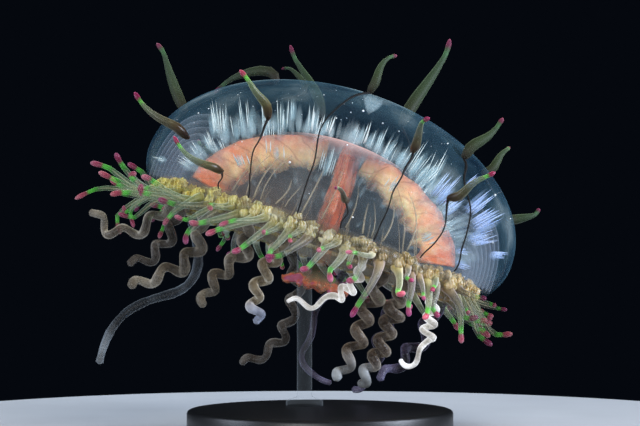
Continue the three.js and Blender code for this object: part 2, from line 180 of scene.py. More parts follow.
def mark(bm, name, number):
    """Gives each vertex a number, worked out from it, for the material to read."""
    layer = bm.verts.layers.float.new(name)
    for vert in bm.verts:
        vert[layer] = number(vert)


def tube(stations, sides, tint=0.0):
    """
    A closed tube through stations of (place, radius, share of length). Each ring is drawn out
    of the last and carries the share as 'along'. 'wrap' holds the way round the tube, as a
    cosine and a sine, and the share; 'tint' tells one tube from the next.
    """
    bm = bmesh.new()
    along = bm.verts.layers.float.new("along")
    wrap = bm.verts.layers.float_vector.new("wrap")
    shade = bm.verts.layers.float.new("tint")
    places = [s[0] for s in stations]
    ways = [(after - before).normalized()
            for before, after in zip(places[:1] + places, places[1:] + places[-1:])]
    side = ways[0].orthogonal().normalized()
    edges, before = None, None
    for (place, radius, share), way in zip(stations, ways):
        side = (side - way * side.dot(way)).normalized()
        across = way.cross(side)
        frame_here = Matrix((side, across, way)).transposed().to_4x4()
        frame_here.translation = place
        frame_here = frame_here @ Matrix.Diagonal((radius, radius, radius, 1))
        if edges is None:
            ring = bmesh.ops.create_circle(bm, cap_ends=True, segments=sides, radius=1,
                                           matrix=frame_here)["verts"]
            edges = bm.edges[:]
        else:
            made = bmesh.ops.extrude_edge_only(bm, edges=edges)["geom"]
            ring = [g for g in made if isinstance(g, bmesh.types.BMVert)]
            edges = [g for g in made if isinstance(g, bmesh.types.BMEdge)]
            bmesh.ops.transform(bm, matrix=frame_here @ before.inverted(), verts=ring)
        turned = frame_here.inverted()
        for vert in ring:
            way_round = turned @ vert.co
            vert[along] = share
            vert[wrap] = (way_round.x, way_round.y, share)
            vert[shade] = tint
        before = frame_here
    bmesh.ops.contextual_create(bm, geom=edges)
    bmesh.ops.recalc_face_normals(bm, faces=bm.faces[:])
    return bm


def joined(parts):
    """One bmesh of several, which are used up."""
    whole = bmesh.new()
    for bm in parts:
        mesh = bpy.data.meshes.new("part")
        bm.to_mesh(mesh)
        bm.free()
        whole.from_mesh(mesh)
        bpy.data.meshes.remove(mesh)
    return whole


def piece(name, bm, materials, replaced=(), place=PLACE):
    """Puts finished mesh work into the scene, in place, riding on the one body."""
    bmesh.ops.transform(bm, matrix=place, verts=bm.verts[:])
    mesh = bpy.data.meshes.new(name)
    bm.to_mesh(mesh)
    bm.free()
    for material in materials:
        mesh.materials.append(material)
    mesh.polygons.foreach_set("use_smooth", [True] * len(mesh.polygons))
    thing = bpy.data.objects.new(name, mesh)
    bpy.context.collection.objects.link(thing)
    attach(thing, "root")
    if replaced:
        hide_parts(*replaced)
    return thing


# ---- Materials

def colour(text):
    """sRGB hex to linear, with full alpha."""
    parts = [int(text[i:i + 2], 16) / 255 for i in (1, 3, 5)]
    return tuple(c / 12.92 if c <= 0.04045 else ((c + 0.055) / 1.055) ** 2.4
                 for c in parts) + (1.0,)


def add(made, kind, sockets=(), stops=(), **settings):
    """
    Adds a node to a material: its settings, the stops of its ramp, then its sockets, in their
    order or by name. A socket takes a value, a hex colour, or the node or output that feeds it.
    """
    node = made.node_tree.nodes.new("ShaderNode" + kind)
    if kind == "Mix":
        node.data_type = "RGBA"
    for key, value in settings.items():
        setattr(node, key, value)
    if stops:
        ramp = node.color_ramp.elements
        while len(ramp) < len(stops):
            ramp.new(0.5)
        for stop, (position, shade) in zip(ramp, stops):
            stop.position = position
        for stop, (position, shade) in zip(ramp, stops):
            stop.color = colour(shade) if isinstance(shade, str) else (shade,) * 3 + (1.0,)
    in_use = [socket for socket in node.inputs if socket.enabled]
    for key, value in sockets.items() if isinstance(sockets, dict) else enumerate(sockets):
        socket = node.inputs[key] if isinstance(key, str) else in_use[key]
        if isinstance(value, bpy.types.Node):
            value = next(output for output in value.outputs if output.enabled)
        if isinstance(value, bpy.types.NodeSocket):
            made.node_tree.links.new(value, socket)
        else:
            socket.default_value = colour(value) if isinstance(value, str) else value
    return node


def material(name, *wanted):
    """
    A new material and what its look depends on: the place on the piece, how far the surface
    turns away there, or a number that the piece's vertices carry.
    """
    made = bpy.data.materials.new(name)
    made.use_nodes = True
    made.node_tree.nodes.clear()
    return (made, *(
        add(made, "TexCoord").outputs["Object"] if mark == "place"
        else add(made, "LayerWeight").outputs["Facing"] if mark == "facing"
        else add(made, "Attribute", attribute_name=mark).outputs["Fac"] for mark in wanted))


def finished(made, sockets, blended=False):
    """Gives a material its surface shader."""
    add(made, "OutputMaterial", [add(made, "BsdfPrincipled", sockets)])
    if blended:
        made.surface_render_method = "BLENDED"
    return made


def jelly_skin():
    """Mesogloea, firm clear jelly with a wet skin: almost clear face on, a pale edge."""
    made, place, facing, hem = material("mesogloea_jelly", "place", "facing", "hem")
    # A slow cloudiness about 20 mm across lies under the skin.
    cloud = add(made, "TexNoise", [place, 55, 4])
    shade = add(made, "ValToRGB", [cloud], [(0.35, "#32546e"), (0.55, "#52788c"),
                                            (0.75, "#a2bac2")])
    veil = add(made, "ValToRGB", [facing], [(0, 0.1), (0.5, 0.13), (0.8, 0.24), (0.93, 0.4),
                                            (0.985, 0.9)])
    thick = add(made, "Math", [veil, cloud], operation="MULTIPLY")
    full = add(made, "Math", [thick, 1.9], operation="MULTIPLY")
    # The hem thins out to a clear film over the nettle ring.
    thin = add(made, "MapRange", [hem, 0, 1, 1, 0.22])
    clear = add(made, "Math", [full, thin], operation="MULTIPLY")
    return finished(made, {"Base Color": shade, "Alpha": clear, "Roughness": 0.22,
                           "IOR": 1.34}, True)


def lining_skin():
    """The cavity's wall: a fine muscle sheet that catches the light as a pale blue bloom."""
    made, place, facing = material("subumbrella_muscle", "place", "facing")
    cloud = add(made, "TexNoise", [place, 90, 5])
    shade = add(made, "ValToRGB", [facing], [(0.2, "#6e6a62"), (0.6, "#848e94"),
                                             (0.95, "#b4c6d2")])
    veil = add(made, "ValToRGB", [facing], [(0, 0.16), (0.5, 0.18), (0.8, 0.2), (1, 0.14)])
    thick = add(made, "Math", [veil, cloud], operation="MULTIPLY")
    # On one side the sheet is warmer and denser.
    sideways = add(made, "SeparateXYZ", [place])
    warmth = add(made, "MapRange", [sideways, -0.022, 0.008, 1, 0])
    warmer = add(made, "Mix", [warmth, shade, "#94806e"])
    share = add(made, "MapRange", [warmth, 0, 1, 1.25, 2.2])
    sheet = add(made, "Math", [thick, share], operation="MULTIPLY")
    # The gonads' tissue spreads as a pink blush over the middle of the ceiling, where it is also
    # given a painted glow.
    apex = PLACE @ Vector((0, 0, BELL["cavity_height"]))
    away = add(made, "VectorMath", [place, apex], operation="DISTANCE")
    blush = add(made, "MapRange", [away, 0.007, 0.023, 1, 0])
    pinker = add(made, "Mix", [blush, warmer, "#e2a896"])
    full = add(made, "Math", [blush, 0.72, sheet], operation="MULTIPLY_ADD")
    # Painted glow: the blush gives off a little light, as if lit from within.
    painted_blush_glow = add(made, "Math", [blush, 0.28], operation="MULTIPLY")
    return finished(made, {"Base Color": pinker, "Alpha": full, "Emission Color": "#e0a090",
                           "Emission Strength": painted_blush_glow, "Roughness": 0.45,
                           "IOR": 1.34}, True)


def velum_skin():
    """The velum, a thin muscular shelf: thin milky film."""
    made, place = material("velum_membrane", "place")
    streak = add(made, "TexNoise", [place, 260, 3])
    veil = add(made, "MapRange", [streak, 0, 1, 0.3, 0.65])
    return finished(made, {"Base Color": "#5c5a52", "Alpha": veil, "Roughness": 0.35,
                           "IOR": 1.34}, True)


def band_tissue():
    """The nettle ring: lumpy tissue packed with stinging cells, olive to cream, wet."""
    made, place, rise, packed = material("nettle_ring_tissue", "place", "rise", "packed")
    # Clumps of stinging cells are 2 to 3 mm across; the ground colour drifts over 30 mm.
    clump = add(made, "TexVoronoi", [place, 430]).outputs
    cloud = add(made, "TexNoise", [place, 260, 5])
    slow = add(made, "TexNoise", [place, 32, 1])
    olive = add(made, "ValToRGB", [cloud], [(0.32, "#7c6e38"), (0.42, "#a89a54"),
                                            (0.52, "#c6ba74"), (0.6, "#e0d8a4"),
                                            (0.72, "#fffbe8")])
    cream = add(made, "ValToRGB", [cloud], [(0.32, "#8a7444"), (0.42, "#bca872"),
                                            (0.52, "#dacda2"), (0.6, "#f2ead0"),
                                            (0.72, "#ffffff")])
    ground = add(made, "Mix", [slow, olive, cream])
    spots = add(made, "ValToRGB", [clump["Color"]], [(0, "#caa460"), (0.3, "#b8b080"),
                                                     (0.6, "#f2ecd6"), (0.85, "#a07c54")])
    spotted = add(made, "Mix", [0.36, ground, spots])
    # The bands of stinging cells on a clump are white and 0.5 mm apart; they also stand in for
    # painted glints on the wet ring.
    bands = add(made, "TexWave", [place, 330, 9, 3, 1.5]).outputs["Fac"]
    white = add(made, "ValToRGB", [bands], [(0.6, 0), (0.92, 0.7)])
    bands_and_glints = add(made, "Mix", [white, spotted, "#fff8e6"])
    # The ring is yellower on one side of the animal and browner on the other.
    sideways = add(made, "SeparateXYZ", [place])
    far_round = add(made, "MapRange", [sideways, -0.05, 0.05])
    cast = add(made, "ValToRGB", [far_round], [(0.1, "#d8d890"), (0.45, "#dce2dc"),
                                               (0.68, "#b8b2aa"), (0.92, "#dcccb0")])
    tinged = add(made, "Mix", [1, bands_and_glints, cast], blend_type="MULTIPLY")
    # Where the tissue is less packed, in the gaps between the clumps, it is mixed towards a dark
    # olive: painted shade.
    mixed = add(made, "Mix", [packed, "#665c48", tinged])
    bump = add(made, "Bump", {"Strength": 0.45, "Distance": 0.0005,
                              "Height": clump["Distance"]}, invert=True)
    # Towards the cavity the ring thins to a clear skin.
    thin = add(made, "ValToRGB", [rise], [(0, 1), (0.5, 0.85), (1, 0.4)])
    dense = add(made, "MapRange", [packed, 0, 1, 0.34, 0.82])
    veil = add(made, "Math", [thin, dense], operation="MULTIPLY")
    return finished(made, {
        "Base Color": mixed, "Alpha": veil, "Normal": bump, "Roughness": 0.26,
        "Subsurface Weight": 0.3, "Subsurface Scale": 0.002,
        "Subsurface Radius": (1, 0.7, 0.4)})


def gonad_tissue(name, upper, middle, lower, deep, end, crease_shade, rim):
    """
    The gonads: soft ruffled curtains, pinker where they hang, with deeper patches, painted
    shade in brown creases where they fold, and a lower edge so thin that it is half clear.
    """
    made, place, facing, hang, along = material(name, "place", "facing", "hang", "along")
    cloud = add(made, "TexNoise", [place, 110, 4])
    grain = add(made, "TexNoise", [place, 520, 3])
    stray = add(made, "MapRange", [cloud, 0.3, 0.7, -0.2, 0.2])
    drop = add(made, "Math", [hang, stray], operation="ADD")
    body = add(made, "ValToRGB", [drop], [(0.05, upper), (0.38, middle), (0.72, lower),
                                          (1, "#cbb08a")])
    patch = add(made, "MapRange", [cloud, 0.5, 0.6, 0, 0.85])
    outward = add(made, "ValToRGB", [along], [(0.35, 0.15), (0.75, 1)])
    redder = add(made, "Math", [patch, outward], operation="MULTIPLY")
    flushed = add(made, "Mix", [redder, body, deep])
    tail = add(made, "ValToRGB", [along], [(0.7, 0), (0.92, 0.9)])
    ended = add(made, "Mix", [tail, flushed, end])
    # The creases are painted shade: brown lines that run slantwise down the curtain, about 5 mm
    # apart.
    slant = add(made, "Math", [hang, 0.22, along], operation="MULTIPLY_ADD")
    bent = add(made, "Math", [stray, 0.16, slant], operation="MULTIPLY_ADD")
    turns = add(made, "Math", [bent, 2 * pi * 7], operation="MULTIPLY")
    wave = add(made, "Math", [turns], operation="SINE")
    line = add(made, "ValToRGB", [wave], [(0.9, 0), (0.99, crease_shade)])
    crease_shaded = add(made, "Mix", [line, ended, "#9a5a34"])
    pale = add(made, "MapRange", [grain, 0.45, 0.75, 0, 0.5])
    mottled = add(made, "Mix", [pale, crease_shaded, "#fce0c0"])
    bump = add(made, "Bump", {"Strength": 0.4, "Distance": 0.0005, "Height": grain})
    sheer = add(made, "ValToRGB", [drop], [(0, 0.35), (0.18, 0.92), (0.62, 0.92), (0.98, 0.15)])
    inner = add(made, "ValToRGB", [along], [(0, 0.45), (0.15, 1)])
    whole = add(made, "Math", [sheer, inner], operation="MULTIPLY")
    soft = add(made, "ValToRGB", [facing], [(0.3, 1), (0.95, rim)])
    veil = add(made, "Math", [whole, soft], operation="MULTIPLY")
    return finished(made, {
        "Base Color": mottled, "Alpha": veil, "Normal": bump, "Roughness": 0.5,
        "Subsurface Weight": 0.4, "Subsurface Scale": 0.003,
        "Subsurface Radius": (1, 0.45, 0.25)})


def stomach_tissue():
    """The stomach's wall: ribbed red-orange muscle."""
    made, place, facing, down = material("stomach_muscle", "place", "facing", "along")
    cloud = add(made, "TexNoise", [place, 160, 5])
    shade = add(made, "ValToRGB", [cloud], [(0.3, "#a8502e"), (0.5, "#c85a30"),
                                            (0.7, "#dc9068")])
    veil = add(made, "ValToRGB", [facing], [(0.05, 0.85), (0.25, 0.55), (0.6, 0.02)])
    start = add(made, "ValToRGB", [down], [(0, 0.1), (0.3, 1), (0.55, 0.8), (0.78, 0.5),
                                           (0.95, 0.3)])
    # Below the ring the tube turns to the olive of the lips.
    olive = add(made, "ValToRGB", [down], [(0.76, 0), (0.92, 0.85)])
    ended = add(made, "Mix", [olive, shade, "#5c4c3c"])
    clear = add(made, "Math", [veil, start], operation="MULTIPLY")
    bump = add(made, "Bump", {"Strength": 0.3, "Distance": 0.0004, "Height": cloud})
    return finished(made, {"Base Color": ended, "Alpha": clear, "Normal": bump,
                           "Roughness": 0.4, "Subsurface Weight": 0.3,
                           "Subsurface Scale": 0.002})


def lip_tissue():
    """The lips: a thin olive-grey cup with a magenta flush and an orange-red rim."""
    made, place, out = material("lip_tissue", "place", "along")
    cloud = add(made, "TexNoise", [place, 120, 3])
    stray = add(made, "MapRange", [cloud, 0.3, 0.7, -0.4, 0.15])
    where = add(made, "Math", [out, stray], operation="ADD")
    shade = add(made, "ValToRGB", [where], [(0, "#56543e"), (0.5, "#746852"), (0.8, "#86684e"),
                                            (0.9, "#a46044"), (0.97, "#b4583c"),
                                            (1, "#984c68")])
    veil = add(made, "ValToRGB", [where], [(0.15, 0.2), (0.75, 0.32), (0.97, 0.66)])
    bump = add(made, "Bump", {"Strength": 0.3, "Distance": 0.0005, "Height": cloud})
    return finished(made, {"Base Color": shade, "Alpha": veil, "Normal": bump,
                           "Roughness": 0.35, "Subsurface Weight": 0.2,
                           "Subsurface Scale": 0.002})


def club_skin(name, stops, rims, glow, clear, rough=0.3, sides=None):
    """
    A club's skin: clear tissue coloured along its length, streaked lengthwise, and paler and
    denser where it turns away. The green band has a fluorescent pigment and is given a painted
    glow, and the pink tip a fainter one.
    """
    made, facing, along, tint = material(name, "facing", "along", "tint")
    wrap = add(made, "Attribute", attribute_name="wrap").outputs["Vector"]
    # Pigment cells lie in files down the club, about 0.4 mm wide, drawn coarser than real.
    files = add(made, "Mapping", {"Vector": wrap, "Scale": (1.3, 1.3, 4)})
    streak = add(made, "TexNoise", [files, 2.4, 3])
    stray = add(made, "MapRange", [streak, 0.3, 0.7, -0.02, 0.02])
    where = add(made, "Math", [along, stray], operation="ADD")
    shade, rim, light, veil, at_tip = (
        add(made, "ValToRGB", [where], ramp)
        for ramp in (stops, rims, glow, clear, [(0.84, 0), (0.87, 1)]))
    turned = add(made, "ValToRGB", [facing], [(0.38, 0), (0.8, 0.85)])
    file_line = add(made, "ValToRGB", [streak], [(0.56, 0), (0.72, 0.25)])
    paler = add(made, "Math", [turned, file_line], operation="MAXIMUM")
    mixed = add(made, "Mix", [paler, shade, rim])
    worn = add(made, "ValToRGB", [tint], [(0, "#d8c2dc"), (0.4, "#ffffff"), (1, "#fff6ea")])
    tip_cast = add(made, "ValToRGB", [tint], [(0, "#b494c8"), (0.3, "#e0b4d0"),
                                              (0.65, "#ffffff"), (1, "#ffe2d4")])
    cast = add(made, "Mix", [at_tip, worn, tip_cast])
    tinted = add(made, "Mix", [1, mixed, cast], blend_type="MULTIPLY")
    dense = add(made, "Math", [paler, 0.5, veil], operation="MULTIPLY_ADD", use_clamp=True)
    if sides:
        # Round the ring the clubs go from clear and cool to dense and creamy.
        place = add(made, "TexCoord").outputs["Object"]
        sideways = add(made, "SeparateXYZ", [place])
        round_ring = add(made, "MapRange", [sideways, -0.05, 0.05])
        hue = add(made, "ValToRGB", [round_ring], sides)
        tinted = add(made, "Mix", [1, tinted, hue], blend_type="MULTIPLY")
        more = add(made, "ValToRGB", [round_ring], [(0, 0.42), (0.6, 0.5), (0.74, 0.9),
                                                    (0.9, 0.95), (0.96, 0.35)])
        doubled = add(made, "Math", [more, 2], operation="MULTIPLY")
        dense = add(made, "Math", [dense, doubled], operation="MULTIPLY", use_clamp=True)
    # The emission is painted glow: green in the band, faint at the tip.
    return finished(made, {"Base Color": tinted, "Alpha": dense, "Emission Color": light,
                           "Emission Strength": 0.6, "Roughness": rough, "IOR": 1.38})


def coil_skin(name, dark, middle, pale, tip, rest=0.85, glow=0.0):
    """A feeler's skin: clear tissue with a milky edge, ringed by bands of stinging cells."""
    made, place, facing, along, rings = material(name, "place", "facing", "along", "run")
    # The bands of stinging cells are 1.1 mm apart.
    band = add(made, "Math", [rings, 2 * pi / 1.1], operation="MULTIPLY")
    wave = add(made, "Math", [band], operation="SINE")
    cloud = add(made, "TexNoise", [place, 240, 3])
    stray = add(made, "MapRange", [cloud, 0.3, 0.7, -0.16, 0.16])
    lift = add(made, "Math", [facing, stray], operation="ADD")
    ringed = add(made, "Math", [wave, 0.03, lift], operation="MULTIPLY_ADD")
    shade = add(made, "ValToRGB", [ringed], [(0, dark), (0.16, middle), (0.38, middle),
                                             (0.6, pale), (0.85, pale), (1, middle)])
    ending = add(made, "ValToRGB", [along], [(0.78, 0), (0.92, 0.85)])
    ended = add(made, "Mix", [ending, shade, tip])
    # Lengths about 6 mm long are duller than the rest.
    slow = add(made, "TexNoise", [place, 150, 1])
    dull = add(made, "ValToRGB", [slow], [(0.38, "#b8b4b0"), (0.58, "#ffffff")])
    mixed = add(made, "Mix", [1, ended, dull], blend_type="MULTIPLY")
    veil = add(made, "ValToRGB", [facing], [(0.1, rest), (0.5, min(1, rest + 0.15))])
    bump = add(made, "Bump", {"Strength": 0.2, "Distance": 0.0002, "Height": wave})
    # Glow is a painted glow, given only to the white feelers so that they shine.
    return finished(made, {"Base Color": mixed, "Alpha": veil, "Normal": bump,
                           "Emission Color": mixed, "Emission Strength": glow,
                           "Roughness": 0.4, "IOR": 1.36})


def fibre(name, shade, glow, fade, rough=0.5, rim=1.0):
    """
    A fine strand or fleck of one pigment inside the jelly. Fade is its alpha along it, and
    rim the share of that which is left where it turns away, low on a bundle of loose fibres.
    """
    made, place, facing, along = material(name, "place", "facing", "along")
    cloud = add(made, "TexNoise", [place, 700, 2])
    tone = add(made, "Mix", [cloud, shade, glow])
    veil = add(made, "ValToRGB", [along], fade)
    loose = add(made, "ValToRGB", [facing], [(0, 1), (0.8, rim)])
    soft = add(made, "Math", [veil, loose], operation="MULTIPLY")
    return finished(made, {"Base Color": tone, "Alpha": soft, "Roughness": rough})


def layer_skin():
    """The layers of the thick edge of the jelly: a faint bloom, plain to see edge on."""
    made, facing = material("jelly_layer", "facing")
    veil = add(made, "ValToRGB", [facing], [(0, 0.002), (0.4, 0.005), (0.7, 0.03),
                                            (0.88, 0.09), (0.98, 0.24)])
    return finished(made, {"Base Color": "#bccbdc", "Alpha": veil, "Roughness": 0.5})


# ---- Camera, floor and light

def studio():
    """A plain pale round floor, dark air behind, and soft lamps above and to each side."""
    scene = bpy.context.scene
    # The camera looks level from 757 mm in front of the model, 68 mm above the table.
    view = bpy.data.cameras.new("camera")
    view.lens, view.sensor_width, view.clip_start = 135, 36, 0.01
    camera = bpy.data.objects.new("camera", view)
    camera.location = (0, -0.757, 0.068)
    camera.rotation_euler = (radians(90), 0, 0)
    scene.collection.objects.link(camera)
    scene.camera = camera
    scene.view_settings.view_transform = "Standard"
    scene.cycles.transparent_max_bounces = 32

    bm = bmesh.new()
    bmesh.ops.create_circle(bm, cap_ends=True, segments=128, radius=0.16)
    mesh = bpy.data.meshes.new("floor")
    bm.to_mesh(mesh)
    bm.free()
    floor = bpy.data.objects.new("floor", mesh)
    scene.collection.objects.link(floor)
    made, place = material("matt_pale_floor", "place")
    cloud = add(made, "TexNoise", [place, 30, 3])
    shade = add(made, "ValToRGB", [cloud], [(0.3, "#92979d"), (0.7, "#979ca2")])
    mesh.materials.append(finished(made, {"Base Color": shade, "Roughness": 0.8}))

    world = bpy.data.worlds.new("water_dark")
    world.use_nodes = True
    scene.world = world
    ground = world.node_tree.nodes["Background"].inputs
    ground["Color"].default_value = colour("#05080e")
    ground["Strength"].default_value = 1.0

    lamps = {
        # name: place, size, watts, colour; each faces the bell
        "top_back": ((-0.10, 0.32, 0.42), 0.30, 3.2, "#e6f1ff"),
        "top_front": ((0.12, -0.30, 0.45), 0.30, 2.3, "#fff6ea"),
        "left": ((-0.48, -0.12, 0.16), 0.25, 1.3, "#dfeaff"),
        "right": ((0.46, -0.16, 0.18), 0.25, 3.4, "#e2ecff"),
        "front": ((-0.18, -0.62, 0.10), 0.35, 2.2, "#ffffff"),
    }
    for name, (spot, size, power, shade) in lamps.items():
        lamp = bpy.data.lights.new(name, "AREA")
        lamp.shape, lamp.size, lamp.energy = "DISK", size, power
        lamp.color = colour(shade)[:3]
        thing = bpy.data.objects.new(name, lamp)
        thing.location = spot
        away = Vector(spot) - Vector((0, 0, 0.07))
        thing.rotation_euler = away.to_track_quat("Z", "Y").to_euler()
        # The large lamps overhead would lie as white sheets on the wet bell.
        thing.visible_glossy = not name.startswith("top")
        scene.collection.objects.link(thing)


studio()


# ---- The bell

def make_bell():
    """One skin: outside, hem, groove for the nettle ring, cavity wall."""
    groove = MARGIN["outer"] + 0.45
    lowest = -degrees(asin((BELL["widest_at"] + BELL["hem"]) / BELL["skirt"]))
    outside = []
    for i in range(45):
        point = outer_point(90, lerp(90, lowest, i / 44))
        outside.append((max(0, point.x - BELL["sway"] * max(0, point.z)), point.z))
    hem = [(lerp(outside[-1][0], groove + 0.8, 0.5), -BELL["hem"] - 0.8),
           (groove + 0.8, -BELL["hem"] - 1), (groove + 0.2, -BELL["hem"] - 0.5),
           (groove, -BELL["hem"]), (groove, 0), (BELL["cavity_radius"], 0)]
    inside = []
    for i in range(1, 37):
        up = radians(lerp(0, 90, i / 36))
        inside.append((BELL["cavity_radius"] * cos(up) if i < 36 else 0,
                       BELL["cavity_height"] * sin(up)))
    bm = spun(outside + hem + inside, 112)
    for face in bm.faces:
        c = face.calc_center_median()
        within = hypot(c.x, c.y) < groove + 0.1 and c.z > -BELL["hem"]
        inner = (hypot(c.x, c.y) / (BELL["cavity_radius"] + 1)) ** 2 + (
            c.z / (BELL["cavity_height"] + 1)) ** 2 < 1
        face.material_index = 1 if within and (inner or c.z < 1) else 0
    mark(bm, "hem", lambda vert: smooth((3 - vert.co.z) / 4))
    for vert in bm.verts:
        x, y, z = vert.co
        if (hypot(x, y) / BELL["cavity_radius"]) ** 2 + (z / BELL["cavity_height"]) ** 2 > 1.02:
            vert.co.x += BELL["sway"] * max(0, z)
    piece("bell_skin", bm, [jelly_skin(), lining_skin()], ["bell"])


def make_velum():
    """The thin shelf inside the margin, sagging a little towards its free edge."""
    v = VELUM
    top, low = [], []
    for i in range(9):
        share = i / 8
        radius = lerp(v["outer"], v["inner"], share)
        height = v["top"] - v["drop"] * smooth(share)
        top.append((radius, height))
        low.append((radius + 0.1, height - v["thickness"] * lerp(1, 0.6, share)))
    piece("velum_shelf", spun(top + low[::-1] + top[:1], 112), [velum_skin()],
          ["velum"])


make_bell()
make_velum()


# ---- Nettle ring and its clubs

def short_club_line(azimuth, index, share=1.0, high=False, droop=0.0):
    """
    The middle line of a club of the ring. The high ones are rooted on its outer side, and
    their tips hang less.
    """
    left = max(0, -sin(radians(azimuth))) ** 2
    right = max(0, sin(radians(azimuth))) ** 2
    front = cos(radians(azimuth))
    length = 13 + 6 * left + 4 * max(0, cos(radians(azimuth + 15))) ** 2
    length += 2.4 * sin(2.4 * index) + 1.4 * sin(5.1 * index)
    flare = 0.62 + 0.45 * left + 0.2 * sin(1.7 * index)
    trail = -0.1 - 0.42 * front + 0.12 * sin(3.3 * index)
    fall = 0.62 - 0.85 * left + 0.2 * sin(4.3 * index) - (0.5 if high else 0)
    fall += left * (droop + 0.42 * sin(7.7 * index))
    out = LEAN @ polar(1, azimuth, 0)
    reach = Vector((trail, 0, -fall)) + out * flare
    reach = UNLEAN @ (reach.normalized() * length * share)
    inset = 0.3 if high else 1.6 if int(index) % 2 == 0 else 2.8
    root = polar(MARGIN["outer"] - inset, azimuth, -(0.66 if high else 0.85) * MARGIN["depth"])
    bend = root + polar(0.34 * length * share, azimuth, -0.16 * length * share)
    hook = drift((sin(1.9 * index) + 1.5 * right, 0.4 * cos(2.7 * index),
                  cos(3.1 * index) + 0.3 * right)) * (1 + 1.1 * left)
    tip = root + reach
    return Line(lambda s: bezier([root, bend, tip], s) + hook * (
        0.6 * sin(3.1 * s) * s * s + 75 * max(0, s - 0.82) ** 2), 60)


def all_short_clubs():
    """Every club of the ring, as its line and thickness: 56 of full size, 42 smaller."""
    clubs = []
    for index in range(56):
        azimuth = (index + 0.5) * 360 / 56
        clubs.append((short_club_line(azimuth, index), 1.0))
        if index % 4 == 3:
            continue
        high = index % 2 == 0
        at = azimuth + (0.5 + rng.uniform(-0.2, 0.2)) * 360 / 56
        longer = 1 + 0.35 * max(0, -sin(radians(at))) ** 2
        clubs.append((short_club_line(at, index + 3.5, rng.uniform(0.5, 0.8) * longer, high,
                                      1.3), rng.uniform(0.7, 0.85)))
    return clubs


def bead(place, size, way=(0, 0, 1), stretch=1.0, lumps=0.0):
    """A small rounded clump of tissue, drawn out along a direction and lumpy all over."""
    bm = bmesh.new()
    bmesh.ops.create_icosphere(bm, subdivisions=3 if size > 1.6 else 2, radius=size, matrix=(
        Matrix.Translation(place) @ Vector(way).to_track_quat("Z", "Y").to_matrix().to_4x4()
        @ Matrix.Diagonal((1, 1, stretch, 1))))
    for vert in bm.verts:
        vert.co += (vert.co - place) * lumps * (
            0.6 * noise.noise(vert.co * 0.9) + 0.7 * noise.noise(vert.co * 2.6))
    return bm


def make_ring(clubs):
    """The nettle ring, swollen into clumps, with beads of stinging cells and the clubs' roots."""
    inner, outer, top, depth = (MARGIN[k] for k in ("inner", "outer", "top", "depth"))
    middle, half = (inner + outer) / 2, (outer - inner) / 2
    section = []
    for i in range(18):
        turn = 2 * pi * i / 18
        across, up = cos(turn), sin(turn)
        round_off = (abs(across) ** 3 + abs(up) ** 3) ** (-1 / 3)
        wide = half * (1 if up > 0 else lerp(1, 0.62, -up * round_off))
        section.append((middle + wide * across * round_off,
                        top - depth / 2 + depth / 2 * up * round_off))
    bm = spun(section + section[:1], 320)
    for vert in bm.verts:
        near = noise.voronoi(vert.co * 0.42)[0][0]
        swell = max(0, 1 - near / 0.7) * 1.1 - 0.3
        swell += 0.7 * noise.noise(vert.co * 0.9)
        swell *= smooth((0.5 - vert.co.z) / 2.6)
        out = Vector((vert.co.x, vert.co.y, 0)).normalized()
        side = 1 if hypot(vert.co.x, vert.co.y) > middle else -0.4
        vert.co += out * side * swell * 0.75 - Vector((0, 0, swell * 0.7))
    mark(bm, "packed", lambda vert: 0.55 * smooth(2.2 * noise.noise(vert.co * 0.13)))
    beads = []
    for line, width in clubs:
        place, way = line.at(0.05)
        size = rng.uniform(1.9, 2.6) if width == 1 else rng.uniform(0.9, 1.5)
        # The clumps sit between the clubs' roots and the top of the ring.
        place.z = lerp(place.z, -1.4, rng.uniform(0.35, 0.75))
        beads.append(bead(place, size, (way + Vector((0, 0, -1))).normalized(), 1.25, 0.6))
    for i in range(170):
        azimuth = rng.uniform(0, 360)
        radius = lerp(middle, outer + 0.5, rng.random() ** 0.6)
        height = lerp(-0.8, -5.6, rng.random())
        if height < -4.5:
            radius -= (abs(height) - 4.5) * 0.9
        beads.append(bead(polar(radius, azimuth, height), 0.4 + 1.1 * rng.random() ** 2,
                          polar(1, azimuth + 90, 0), rng.uniform(0.8, 1.6), 0.6))
    for clump in beads:
        mark(clump, "packed", lambda vert: 1)
    ring = joined([bm] + beads)
    mark(ring, "rise", lambda vert: smooth((vert.co.z + 2.4) / 2.1)
         * (1 - 0.8 * vert[ring.verts.layers.float["packed"]]))
    piece("nettle_ring", ring, [band_tissue()],
          [f"margin_{i + 1}" for i in range(8)])


SHORT_SHAPE = [(0, 1.9), (0.07, 1.75), (0.16, 1.45), (0.3, 1.2), (0.45, 1.05), (0.6, 0.92),
               (0.74, 0.8), (0.84, 0.7), (0.87, 0.78), (0.91, 0.88), (0.95, 0.84), (0.98, 0.6),
               (0.997, 0.25)]


